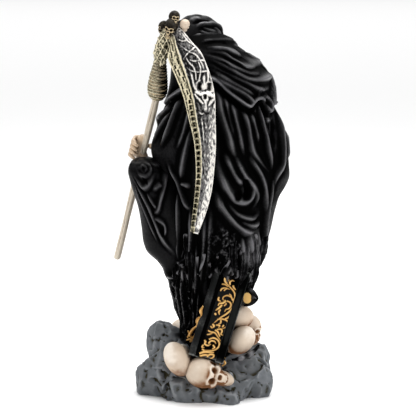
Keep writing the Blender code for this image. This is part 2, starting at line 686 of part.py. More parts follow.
def blade_sections(rows):
    """Returns the blade's sections, root to tip, in drawn millimetres."""
    table = through(np.array([(*back, *rim, *edge, depth) for back, rim, edge, depth in BLADE], float), rows)
    sections = []
    for index, (bx, by, rx, ry, ex, ey, depth) in enumerate(table):
        share = index / (rows - 1)
        thick = BLADE_THICKNESS / DRAWN * (1.0 - 0.35 * share) * min(1.0, 0.5 + 4.0 * share)
        thin_edge = EDGE_THICKNESS / DRAWN
        toward = np.array([0.0, 1.0, 0.0])
        back = spot(bx, by, depth - 1.6)
        rim = spot(rx, ry, depth)
        edge = spot(ex, ey, depth - 2.0)
        across = (edge - rim) / np.linalg.norm(edge - rim)
        sections.append(
            (
                back,
                back - toward * (thick - 1.6) + across * 0.6,
                rim - toward * thick,
                edge - toward * thin_edge * 1.5,
                edge,
                (rim + edge) / 2 + toward * thick * 0.10,
                rim + across * 0.4,
            )
        )
    return sections


def bent_bar(name, stations, diameter, group, rows, sides):
    """A round form whose axis runs through back-view pixels, its width given as shares of a diameter."""
    table = through([(*pixel, depth, share) for pixel, depth, share in stations], rows)
    points = [spot(px, py, depth) for px, py, depth, _ in table]
    return tube(name, points, table[:, 3] * diameter / 2 / DRAWN, group, sides)


def scythe(group, helpers, shapes):
    """The scythe: one solid of shaft, collar, bone socket, blade and finial skulls."""
    _, up = shaft_axis()
    down = shaft_points(*np.linspace(SHAFT_LENGTH, SHAFT_TOP_SHARE * SHAFT_LENGTH, 9))
    radii = [SHAFT_DIAMETER / 2 * (1.0 + SHAFT_UNEVENNESS * math.sin(2.1 * k)) for k in range(len(down))]
    solids = [
        tube("shaft", [np.array(point) for point in down], radii, helpers, 8, scale=1.0),
        bent_bar("collar", COLLAR, COLLAR_DIAMETER, helpers, 10, 12),
        bent_bar("socket", SOCKET, SOCKET_DIAMETER, helpers, 7, 10),
        loft("blade", blade_sections(22), helpers),
    ]
    for number, (pixel, depth, facing, share) in enumerate(FINIALS):
        place = Vector(spot(*pixel, depth)) * DRAWN
        length = FINIAL_SKULL_LENGTH * share
        solids.append(skull(f"finial_{number + 1}", place, facing, up, length, helpers, 0.028))
    return join_all("scythe", solids, group, shapes)


def join_all(name, solids, group, shapes):
    """One solid of them all: the first is the body that the others, moved to shapes, are united with."""
    body = solids[0]
    body.name = name
    for solid in solids:
        for other in list(solid.users_collection):
            other.objects.unlink(solid)
    group.objects.link(body)
    for solid in solids[1:]:
        link(solid, shapes)
        as_helper(solid)
    combine(body, "UNION", shapes)
    return body


def as_helper(obj):
    obj.hide_render = True
    obj.display_type = "WIRE"
    return obj


def combine(body, operation, shapes):
    made = body.modifiers.new(shapes.name, "BOOLEAN")
    made.operation = operation
    made.operand_type = "COLLECTION"
    made.collection = shapes
    made.use_self = True
    return made


# The left fist: distance of its middle down the shaft from the head, as a share of the shaft's length
GRIP_SHARE = 0.50
FIST_MM = 6.4
FINGER_PITCH_MM = 3.5
LEFT_ELBOW_MM = (40, 6, 158)
# Its palm, foot to head: height along the shaft and radius (mm)
PALM = ((-10, 2.6), (-7, 4.6), (0, 5.2), (6, 4.4), (8.5, 2.4))
LEFT_WRIST_MM = 4.6
WRIST_DROP_MM = 4.0
# The angles round the shaft that its fingers and thumb run between, and the height of the first finger (mm)
FINGER_TURNS = (-1.9, 1.25)
THUMB_TURNS = (-1.3, 0.5)
FIRST_FINGER_MM = 6.5


def hand_on_shaft(group):
    """The left fist: a palm behind the shaft, with four fingers and a thumb round it."""
    (grip,) = shaft_points(GRIP_SHARE * SHAFT_LENGTH)
    _, up = shaft_axis()
    toward = Vector((0, 1, 0))
    toward = (toward - toward.dot(up) * up).normalized()
    left = toward.cross(up).normalized()
    left *= math.copysign(1.0, left.x)
    finger = FINGER_DIAMETER / 2
    hold = FIST_MM * DRAWN
    heart = grip + left * (hold * 0.40)
    behind = heart - toward * hold * 0.55
    palm = [np.array(behind + up * level * DRAWN) for level, _ in PALM]
    solids = [tube("palm", palm, [radius * DRAWN for _, radius in PALM], group, 10, 1.0)]
    turns = np.linspace(*FINGER_TURNS, 7)
    widths = np.full(len(turns), finger)
    widths[[0, -1]] *= 0.7
    for number in range(4):
        points = []
        for turn in turns:
            around = left * math.cos(turn) + toward * math.sin(turn)
            level = FIRST_FINGER_MM - FINGER_PITCH_MM * number - 1.1 * (turn - turns[0])
            points.append(np.array(heart + around * hold + up * level * DRAWN))
        solids.append(tube(f"finger_{number + 1}", points, widths, group, 6, 1.0))
    thumb = []
    for turn in np.linspace(*THUMB_TURNS, 6):
        around = -left * math.cos(turn) + toward * math.sin(turn)
        thumb.append(np.array(grip + around * hold * 0.82 + up * (3.0 + 2.0 * turn) * DRAWN))
    solids.append(tube("thumb", thumb, finger, group, 6, 1.0))
    start = behind - up * WRIST_DROP_MM * DRAWN
    wrist = [start.lerp(metres(LEFT_ELBOW_MM), share) for share in (0.0, 0.4, 0.8)]
    solids.append(tube("wrist", [np.array(point) for point in wrist], LEFT_WRIST_MM * DRAWN, group, 8, 1.0))
    return solids


# The right hand: from the wrist inside the sleeve to the palm, and how its fingers spread (mm)
RIGHT_WRIST_MM = ((-42, -26, 182), (-34, -37, 187), (-28, -45, 190), (-25, -49, 191))
RIGHT_WRIST_RADII_MM = (4.2, 4.0, 4.0, 4.6, 5.2, 4.4)
RIGHT_HAND_AHEAD = (0.50, -0.86, 0.08)
RIGHT_FINGERS = ((8.5, 4.0), (9.6, 1.2), (9.2, -1.8), (7.6, -4.6))
RIGHT_SLEEVE_CREASE = 0.07


def right_sleeve(group, sides=40):
    """The right sleeve: a hanging bell from the elbow to its open mouth, with a hollow behind the mouth."""
    toward = np.array(RIGHT_SLEEVE_TOWARD)
    toward /= np.linalg.norm(toward)
    side = np.cross(toward, (0, 0, 1))
    side /= np.linalg.norm(side)
    rings = []
    table = through([(*middle, *sizes) for middle, *sizes in RIGHT_SLEEVE], 40)
    for x, y, z, half, rise, drop in table:
        ring = []
        for turn in np.linspace(0, 2 * math.pi, sides, endpoint=False):
            lift = math.sin(turn) * (rise if math.sin(turn) > 0 else drop)
            low = 0.3 + 0.7 * max(0.0, -math.sin(turn))
            crease = 1.0 + RIGHT_SLEEVE_CREASE * math.sin(9 * turn) * low
            ring.append(np.array((x, y, z)) + side * half * math.cos(turn) * crease + np.array((0, 0, lift)))
        rings.append(ring)
    return thin(loft("right_sleeve", rings, group), 0.12)


def right_hand(group):
    """The bony right hand, half open in front of the waist."""
    wrist = through(RIGHT_WRIST_MM, len(RIGHT_WRIST_RADII_MM))
    solids = [tube("right_wrist", wrist, RIGHT_WRIST_RADII_MM, group, 8)]
    palm = wrist[-1]
    ahead = np.array(RIGHT_HAND_AHEAD)
    side = np.array((0.0, 0.0, 1.0))
    inward = np.cross(ahead, side)
    for number, (length, offset) in enumerate(RIGHT_FINGERS):
        base = palm + side * offset - ahead * 2.0
        knuckle = base + ahead * length * 0.5 - inward
        bend = base + ahead * length + inward * 1.5
        tip = base + ahead * length * 0.9 + inward * 6.0
        line = through((base, knuckle, bend, tip), 7)
        solids.append(tube(f"right_finger_{number + 1}", line, FINGER_DIAMETER / 2 / DRAWN, group, 6))
    joint = palm + ahead * 4 + inward * 5 + side * 6
    thumb = through((palm + side * 3, joint, palm + ahead * 8 + inward * 8 + side * 5), 5)
    solids.append(tube("right_thumb", thumb, FINGER_DIAMETER / 2 / DRAWN, group, 6))
    return solids


def statue(group, helpers, shapes, cutters):
    """The casting: figure, hood, sleeves, hands, book, skulls and rock in one solid."""
    robe = loft("robe", Drape(ROBE, BACK_FOLDS, front_folds=True).rings(190, 180, layered=True), helpers)
    left_sleeve = loft("left_sleeve", Drape(SLEEVE, SLEEVE_FOLDS).rings(80, 64), helpers)
    solids = [thin(robe, 0.038), thin(left_sleeve, 0.05), right_sleeve(helpers), hood(helpers)]
    solids.append(cowl_ring(helpers))
    solids += [strip(f"strip_{number + 1}", line, helpers) for number, line in enumerate(STRIPS)]
    face = Vector(HEAD_MM) + Vector(LOOK).normalized() * FACE_AHEAD_MM
    length = FACE_LENGTH_MM * DRAWN
    solids.append(skull("face_skull", face * DRAWN, LOOK, FACE_CROWN, length, helpers, 0.07))
    solids += base_rock(helpers)
    solids += skull_heap(helpers)
    solids += book(helpers)
    solids += hand_on_shaft(helpers)
    solids += right_hand(helpers)
    body = join_all("statue", solids, group, shapes)
    for cutter in (ground_cutter(cutters), blade_cutter(cutters), *grip_cutters(cutters)):
        as_helper(cutter)
    combine(body, "DIFFERENCE", cutters)
    return body


def ground_cutter(group):
    wide = BASE_WIDTH + BASE_DEPTH
    return box("ground", (-wide, -wide, -wide), (wide, wide, 0.0), Matrix.Identity(4), group)


def grip_cutters(group):
    """Room for the shaft through the fist, and for the collar and socket beside the shoulder."""
    spare = 0.1 * SHAFT_LENGTH
    line = [np.array(point) for point in shaft_points(*np.linspace(-spare, SHAFT_LENGTH + spare, 12))]
    radius = SHAFT_DIAMETER / 2 * (1.0 + SHAFT_UNEVENNESS) + CLEARANCE
    return [
        tube("shaft_room", line, radius, group, 16, 1.0),
        bent_bar("collar_room", COLLAR, COLLAR_DIAMETER + 2 * CLEARANCE, group, 10, 12),
        bent_bar("socket_room", SOCKET, SOCKET_DIAMETER + 2 * CLEARANCE, group, 7, 10),
    ]


def blade_cutter(group):
    """Room for the blade where it passes close to the back."""
    grown = []
    for section in blade_sections(26):
        section = np.array(section)
        middle = section.mean(axis=0)
        away = section - middle
        away /= np.maximum(np.linalg.norm(away, axis=1, keepdims=True), 1e-6)
        grown.append(section + away * BLADE_ROOM_MM)
    return loft("blade_room", grown, group)


def material(name, colour, roughness, metallic=0.0):
    made = bpy.data.materials.new(name)
    made.use_nodes = True
    shader = made.node_tree.nodes["Principled BSDF"]
    shader.inputs["Base Color"].default_value = (*colour, 1.0)
    shader.inputs["Roughness"].default_value = roughness
    shader.inputs["Metallic"].default_value = metallic
    return made


def main():
    for obj in list(bpy.data.objects):
        bpy.data.objects.remove(obj)
    names = ("robed_figure", "drawing_room", "statue_shapes", "statue_cutters", "scythe_shapes")
    groups = [bpy.data.collections.new(name) for name in names]
    for group in groups:
        bpy.context.scene.collection.children.link(group)
    parts, room, statue_shapes, statue_cutters, scythe_shapes = groups
    casting = statue(parts, room, statue_shapes, statue_cutters)
    casting.data.materials.append(material("black_painted_resin", (0.02, 0.02, 0.022), 0.45))
    tool = scythe(parts, room, scythe_shapes)
    tool.data.materials.append(material("antiqued_metal_paint", (0.55, 0.52, 0.44), 0.4, 0.6))


main()
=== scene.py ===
"""Fine carving and paint of the hooded skeletal figure, its rock, skulls, book and scythe.

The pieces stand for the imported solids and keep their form. Shapes are drawn in millimetres, in the frame of
the solids, and MM turns them into metres. Outlines, folds and ornament are laid out on the back view, in the
pixels of a 416-pixel picture, and BackView turns those pixels into places on the figure.
"""

import logging
import math
from collections.abc import Callable, Iterable, Sequence
from dataclasses import dataclass, field
from enum import Enum
from functools import cache
from typing import Any, ClassVar

import bmesh
import bpy
import numpy as np
from mathutils import Matrix, Vector, noise


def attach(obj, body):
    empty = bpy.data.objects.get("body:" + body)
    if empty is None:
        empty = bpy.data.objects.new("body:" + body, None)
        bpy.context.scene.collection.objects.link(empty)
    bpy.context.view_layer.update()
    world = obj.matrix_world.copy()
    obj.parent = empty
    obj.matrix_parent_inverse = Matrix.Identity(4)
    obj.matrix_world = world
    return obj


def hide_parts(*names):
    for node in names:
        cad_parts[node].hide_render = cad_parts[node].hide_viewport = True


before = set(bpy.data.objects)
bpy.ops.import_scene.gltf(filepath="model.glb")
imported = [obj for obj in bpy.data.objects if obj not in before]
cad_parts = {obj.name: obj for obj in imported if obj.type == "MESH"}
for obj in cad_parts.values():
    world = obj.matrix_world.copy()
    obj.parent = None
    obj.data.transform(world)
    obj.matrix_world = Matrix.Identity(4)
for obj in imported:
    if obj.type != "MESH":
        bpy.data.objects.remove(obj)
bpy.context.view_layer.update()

Array = np.ndarray
Colour = tuple[float, float, float]
Point = tuple[float, ...]
Line = tuple[Point, ...]
Bars = list[tuple[Array, Array]]
Piece = bpy.types.Object
Socket = bpy.types.NodeSocket
Tree = bpy.types.NodeTree

MM = 0.001
# How a fold is shaped: its flank in widths, the powers of its sides, and the valley beside it
FLANK_SHARE = 1.6
CREST_POWER = 1.9
GROOVE_POWER = 1.5
VALLEY_SHARE = 0.14
VALLEY_PLACE = 1.25
VALLEY_REACH = 0.75
# The share of a tapered fold's line over which each end fades
TAPER = 0.30
# The way towards the eye of the back view
TOWARD_EYE = np.array((0.0, 1.0, 0.0))
# A way that no bar runs along, which the start of its rings is worked out from
RING_AIM = (0.31, 0.87, 0.38)
ROOT = "root"
LOG = logging.getLogger("figure")


class Slot(Enum):
    """The record's material slots, one named for each piece; the finish does not come from them."""

    ROBE = "black_robe"
    SCYTHE = "bone_and_silver"
    BONE = "aged_bone"
    STONE = "grey_stone"
    BOOK = "book_black"
    GILT = "old_gilt"
    SHAFT = "shaft_bone"


class Node(Enum):
    """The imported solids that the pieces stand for."""

    STATUE = "statue"
    SCYTHE = "scythe"


@dataclass(frozen=True)
class BackView:
    """The eye behind the figure that outlines and ornament are laid out from, in mm and pixels."""

    distance: float = 1100.0
    height: float = 330.0
    tilt: float = math.radians(9.76)
    focal: float = 1479.0
    middle: float = 208.0
    width: float = 416.0

    def spot(self, px: Any, py: Any, depth: Any) -> Array:
        """Turns pixels at a depth into places.

        Args:
            px: Columns of the picture.
            py: Rows of the picture.
            depth: Distance of each place towards the eye from the upright plane through the origin.

        Returns:
            The places in mm, on a last axis of three.
        """
        px, py, depth = np.broadcast_arrays(*(np.asarray(v, float) for v in (px, py, depth)))
        run = self.distance - depth
        z = self.height - run * np.tan(self.tilt + np.arctan((py - self.middle) / self.focal))
        away = run * math.cos(self.tilt) + (self.height - z) * math.sin(self.tilt)
        return np.stack([(self.middle - px) / self.focal * away, depth, z], axis=-1)

    def pixel(self, places: Array) -> Array:
        """Turns places into the pixels that they are seen at.

        Args:
            places: Places in mm, on a last axis of three.

        Returns:
            Their pixels, on a last axis of two.
        """
        run = self.distance - places[..., 1]
        drop = self.height - places[..., 2]
        away = run * math.cos(self.tilt) + drop * math.sin(self.tilt)
        rise = drop * math.cos(self.tilt) - run * math.sin(self.tilt)
        column = self.middle - places[..., 0] * self.focal / away
        return np.stack([column, self.middle + self.focal * rise / away], axis=-1)

    def on_plane(self, pixels: Array, origin: Array, normal: Array) -> Array:
        """Finds where the lines of sight through pixels meet a plane.

        Args:
            pixels: Pixels, one on each row.
            origin: A place on the plane in mm.
            normal: The plane's normal.

        Returns:
            The meeting places in mm, one on each row.
        """
        pixels = np.asarray(pixels, float)
        eye = np.array([0.0, self.distance, self.height])
        ray = self.spot(pixels[:, 0], pixels[:, 1], 0.0) - eye
        run = ((origin - eye) @ normal) / (ray @ normal)
        return eye + ray * run[:, None]


VIEW = BackView()


def smooth_step(value: Any, low: float, high: float) -> Any:
    """Rises smoothly from 0 to 1 as a value goes from low to high.

    Args:
        value: The number or array of numbers.
        low: Where the rise starts.
        high: Where it ends.

    Returns:
        The share for each value.
    """
    t = np.clip((value - low) / (high - low), 0.0, 1.0)
    return t * t * (3.0 - 2.0 * t)


def through(points: Any, count: int) -> Array:
    """Draws a smooth curve through points.

    Args:
        points: The points, one on each row, with any number of values.
        count: How many points the curve gets.

    Returns:
        The curve's points, one on each row.
    """
    knots = np.asarray(points, float)
    if len(knots) == 2:
        return knots[0] + np.linspace(0.0, 1.0, count)[:, None] * (knots[1] - knots[0])
    padded = np.vstack([2 * knots[0] - knots[1], knots, 2 * knots[-1] - knots[-2]])
    place = np.linspace(0.0, len(knots) - 1.0, count)
    span = np.minimum(place.astype(int), len(knots) - 2)
    t = (place - span)[:, None]
    a, b, c, d = (padded[span + k] for k in range(4))
    return 0.5 * (
        2 * b + (c - a) * t + (2 * a - 5 * b + 4 * c - d) * t**2 + (3 * b - a - 3 * c + d) * t**3
    )


def between(rows: Array, places: Array, at: Array) -> Array:
    """Reads a table smoothly between its rows.

    Args:
        rows: The table's values, one row for each place.
        places: The rising places of the rows.
        at: Where the table is read.

    Returns:
        The values there, one row for each reading.
    """
    slopes = np.gradient(rows, places, axis=0)
    span = np.clip(np.searchsorted(places, at) - 1, 0, len(places) - 2)
    gap = (places[span + 1] - places[span])[:, None]
    t = np.clip((at - places[span])[:, None] / gap, 0.0, 1.0)
    return (
        rows[span] * (2 * t**3 - 3 * t**2 + 1)
        + slopes[span] * gap * (t**3 - 2 * t**2 + t)
        + rows[span + 1] * (3 * t**2 - 2 * t**3)
        + slopes[span + 1] * gap * (t**3 - t**2)
    )


def unit(vector: Any) -> Array:
    """Returns a vector, or each row's vector, at length 1."""
    vector = np.asarray(vector, float)
    return vector / np.maximum(np.linalg.norm(vector, axis=-1, keepdims=True), 1e-12)


def circle(count: int) -> Array:
    """Returns so many even angles round a full turn."""
    return np.linspace(0, 2 * math.pi, count, endpoint=False)


def fractal(places: Array, size: float, octaves: int = 3, seed: float = 0.0) -> Array:
    """Reads an uneven field that has the same value at the same place each time.

    Args:
        places: Places in mm, one on each row.
        size: Width of the field's largest bumps in mm.
        octaves: How many finer layers are added.
        seed: Shift that gives another field.

    Returns:
        Values of about -1 to 1.
    """
    shift = Vector((seed * 7.1, seed * 3.3, seed * 5.7))
    values = np.empty(len(places))
    for k, place in enumerate(places / size):
        spot = Vector(place) + shift
        values[k] = sum(noise.noise(spot * 2.03**n) * 0.5**n for n in range(octaves))
    return values


@dataclass(frozen=True)
class Ridge:
    """A raised line of a relief: how high and how wide to each side, and where it runs."""

    height: float
    width: float
    line: Line
    tapered: bool = True

    def drawn(self, fineness: int = 8) -> Array:
        """Returns its line as a smooth curve, with so many points for each of its own."""
        return through(self.line, fineness * len(self.line))


def ridge_field(at: Array, ridges: Iterable[tuple[Ridge, Array]], round_off: float) -> Array:
    """Finds how far ridges stand out on a flat chart.

    Args:
        at: Chart places, one on each row.
        ridges: Each ridge with its chart line, one point on each row.
        round_off: Radius that blunts the crests, in chart units.

    Returns:
        The height at each place, from the tallest ridge there; a ridge of negative height is a groove.
    """
    raised = np.zeros(len(at))
    cut = np.zeros(len(at))
    valley = np.zeros(len(at))
    for ridge, line in ridges:
        reach = ridge.width * (2.0 if ridge.height > 0 else 1.0)
        low, high = line.min(axis=0) - reach, line.max(axis=0) + reach
        near = np.flatnonzero(((at > low) & (at < high)).all(axis=1))
        if not len(near):
            continue
        here = at[near]
        best = np.full(len(near), 1e9)
        place = np.zeros(len(near))
        for k, (origin, step) in enumerate(zip(line[:-1], np.diff(line, axis=0))):
            t = np.clip(((here - origin) @ step) / max(step @ step, 1e-9), 0.0, 1.0)
            gap = np.linalg.norm(here - origin - t[:, None] * step, axis=1)
            nearer = gap < best
            best = np.where(nearer, gap, best)
            place = np.where(nearer, (k + t) / (len(line) - 1), place)
        fade = 1.0
        if ridge.tapered:
            fade = smooth_step(place, -0.04, TAPER) * smooth_step(place, 1.04, 1.0 - TAPER)
        flank = ridge.width * (FLANK_SHARE if ridge.height > 0 else 1.0) * (0.45 + 0.55 * fade)
        side = np.clip(1.0 - (np.hypot(best, round_off) - round_off) / flank, 0.0, 1.0)
        raised[near] = np.maximum(raised[near], ridge.height * side**CREST_POWER * fade)
        cut[near] = np.minimum(cut[near], ridge.height * side**GROOVE_POWER * fade)
        beside = np.abs(best - VALLEY_PLACE * ridge.width)
        ditch = np.clip(1.0 - beside / (VALLEY_REACH * ridge.width), 0.0, 1.0)
        valley[near] = np.maximum(valley[near], VALLEY_SHARE * ridge.height * ditch * fade)
    return raised + cut - valley * np.clip(1.0 - raised / 1.2, 0.0, 1.0)


def linked(name: str, data: Any) -> Piece:
    """Puts a new object in the scene, at the origin.

    Args:
        name: The object's name.
        data: Its mesh, light or camera.

    Returns:
        The object.
    """
    made = bpy.data.objects.new(name, data)
    bpy.context.scene.collection.objects.link(made)
    return made


def settle(piece: Piece) -> None:
    """Turns what a piece's modifiers make into its own plain mesh, and removes the modifiers.

    Args:
        piece: The piece.
    """
    graph = bpy.context.evaluated_depsgraph_get()
    mesh = bpy.data.meshes.new_from_object(piece.evaluated_get(graph))
    piece.modifiers.clear()
    piece.data = mesh
    mesh.name = piece.name


def new_piece(name: str, points: Array, faces: list[Sequence[int]]) -> Piece:
    """Makes an object from points and faces, shaded smooth.

    Args:
        name: The piece's name.
        points: Its points in mm, one on each row.
        faces: The points of each face.

    Returns:
        The object, linked to the scene at the origin.
    """
    mesh = bpy.data.meshes.new(name)
    mesh.from_pydata((points * MM).tolist(), [], faces)
    mesh.shade_smooth()
    return linked(name, mesh)


def loft(name: str, rings: Array, looped: bool = False) -> Piece:
    """Makes a closed form through rings of points.

    Args:
        name: The piece's name.
        rings: Places in mm, as rows of rings of points.
        looped: True where the last ring meets the first, as in a ring of cloth.

    Returns:
        The object; open ends are closed to the middle of their ring.
    """
    rows, columns = rings.shape[:2]
    index = np.arange(rows * columns).reshape(rows, columns)
    after = np.roll(index, -1, axis=1)
    if looped:
        above, above_after = np.roll(index, -1, axis=0), np.roll(after, -1, axis=0)
        faces = np.stack([index, after, above_after, above], axis=-1).reshape(-1, 4).tolist()
        points = rings.reshape(-1, 3)
    else:
        faces = np.stack([index[:-1], after[:-1], after[1:], index[1:]], axis=-1).reshape(-1, 4).tolist()
        low, high = rows * columns, rows * columns + 1
        faces += np.stack([after[0], index[0], np.full(columns, low)], axis=-1).tolist()
        faces += np.stack([index[-1], after[-1], np.full(columns, high)], axis=-1).tolist()
        points = np.vstack([rings.reshape(-1, 3), rings[0].mean(axis=0), rings[-1].mean(axis=0)])
    corners = points[np.array([face[:3] for face in faces])] - points.mean(axis=0)
    if np.einsum("ij,ij->", corners[:, 0], np.cross(corners[:, 1], corners[:, 2])) < 0:
        faces = [face[::-1] for face in faces]
    return new_piece(name, points, faces)


def mesh_places(mesh: bpy.types.Mesh) -> tuple[Array, Array]:
    """Reads a mesh.

    Args:
        mesh: The mesh.

    Returns:
        Its points in mm and its normals at them, one on each row.
    """
    places = np.empty(len(mesh.vertices) * 3, np.float32)
    mesh.vertices.foreach_get("co", places)
    normals = np.empty(len(mesh.vertices) * 3, np.float32)
    mesh.vertex_normals.foreach_get("vector", normals)
    return places.reshape(-1, 3).astype(float) / MM, normals.reshape(-1, 3).astype(float)


def move_points(piece: Piece, places: Array) -> None:
    """Sets a piece's points, given in mm."""
    piece.data.vertices.foreach_set("co", (places * MM).astype(np.float32).ravel())
    piece.data.update()


def set_share(piece: Piece, name: str, values: Array) -> None:
    """Stores one number on each point of a piece for its paint to read."""
    attribute = piece.data.attributes.get(name) or piece.data.attributes.new(name, "FLOAT", "POINT")
    attribute.data.foreach_set("value", np.asarray(values, np.float32))


def carve_back(piece: Piece, ridges: Iterable[Ridge], round_off: float = 0.5) -> None:
    """Carves a relief, laid out in back-view pixels, into the side of a piece that the back view shows.

    Args:
        piece: The piece.
        ridges: The relief.
        round_off: Radius that blunts its crests, in pixels.
    """
    places, normals = mesh_places(piece.data)
    lines = [(ridge, ridge.drawn()) for ridge in ridges]
    height = ridge_field(VIEW.pixel(places), lines, round_off) * smooth_step(normals[:, 1], 0.0, 0.3)
    move_points(piece, places + normals * height[:, None])


def neighbour_mean(mesh: bpy.types.Mesh) -> Callable[[Array, int], Array]:
    """Prepares the averaging of numbers over a mesh.

    Args:
        mesh: The mesh, with one number for each of its points.

    Returns:
        A function that puts the mean of its neighbours at each point, so many times.
    """
    count = len(mesh.vertices)
    pairs = np.empty(len(mesh.edges) * 2, np.int32)
    mesh.edges.foreach_get("vertices", pairs)
    a, b = pairs.reshape(-1, 2).T
    degree = np.maximum(np.bincount(a, minlength=count) + np.bincount(b, minlength=count), 1)

    def eased(values: Array, times: int) -> Array:
        """Averages numbers with their neighbours.

        Args:
            values: One number for each point.
            times: How often they are averaged.

        Returns:
            The averaged numbers.
        """
        for _ in range(times):
            values = (np.bincount(a, values[b], count) + np.bincount(b, values[a], count)) / degree
        return values

    return eased


def mark_relief(piece: Piece, passes: int, gain: float, settling: int = 0) -> None:
    """Stores on each point how far it stands out of its surroundings, for the paint to follow.

    Args:
        piece: The piece, whose mesh gets the attribute "relief": 0.5 is flat, 1 a crest and 0 a hollow.
        passes: How often the surface is smoothed to find its surroundings.
        gain: The height in mm that counts as a full crest.
        settling: How often the heights are smoothed to find what counts as flat on a rounded piece; below 0
            the middle height of the whole piece does.
    """
    eased = neighbour_mean(piece.data)
    places, normals = mesh_places(piece.data)
    around = np.stack([eased(places[:, k], passes) for k in range(3)], axis=1)
    height = ((places - around) * normals).sum(axis=1)
    if settling > 0:
        height = height - eased(height, settling)
    elif settling < 0:
        height = height - np.median(height)
    set_share(piece, "relief", np.clip(0.5 + 0.5 * height / gain, 0.0, 1.0))


class Web:
    """Adds nodes to a tree and links them."""

    def __init__(self, tree: Tree) -> None:
        """Keeps the tree that the nodes go in."""
        self.tree = tree

    def add(self, kind: str, inputs: dict[Any, Any] | None = None, **settings: Any) -> bpy.types.Node:
        """Adds a node.

        Args:
            kind: The node's type name.
            inputs: Its inputs by name or number: a plain value, or the socket that feeds it.
            settings: The node's own settings.

        Returns:
            The new node.
        """
        node = self.tree.nodes.new(kind)
        for name, value in settings.items():
            setattr(node, name, value)
        for key, value in (inputs or {}).items():
            if isinstance(value, Socket):
                self.tree.links.new(value, node.inputs[key])
            else:
                node.inputs[key].default_value = value
        return node

    def mix(self, share: Any, low: Any, high: Any) -> Socket:
        """Mixes two colours.

        Args:
            share: How much of the second colour there is.
            low: The first colour or its socket.
            high: The second colour or its socket.

        Returns:
            The mixed colour's socket.
        """
        colours = [c if isinstance(c, Socket) else (*c, 1.0) for c in (low, high)]
        node = self.add("ShaderNodeMix", {0: share, 6: colours[0], 7: colours[1]}, data_type="RGBA")
        return node.outputs[2]

    def ramp(self, value: Socket, low: float, high: float, to: Point = (0.0, 1.0)) -> Any:
        """Turns a range of values into another, smoothly.

        Args:
            value: The value's socket.
            low: The value that gives the first result.
            high: The value that gives the second result.
            to: The two results.

        Returns:
            The result's socket.
        """
        inputs = {"Value": value, "From Min": low, "From Max": high, "To Min": to[0], "To Max": to[1]}
        return self.add("ShaderNodeMapRange", inputs, interpolation_type="SMOOTHSTEP").outputs[0]

    def math(self, operation: str, first: Any, second: Any) -> Socket:
        """Works out one number from two.

        Args:
            operation: The operation's name.
            first: The first number or socket.
            second: The second number or socket.

        Returns:
            The result's socket.
        """
        return self.add("ShaderNodeMath", {0: first, 1: second}, operation=operation).outputs[0]


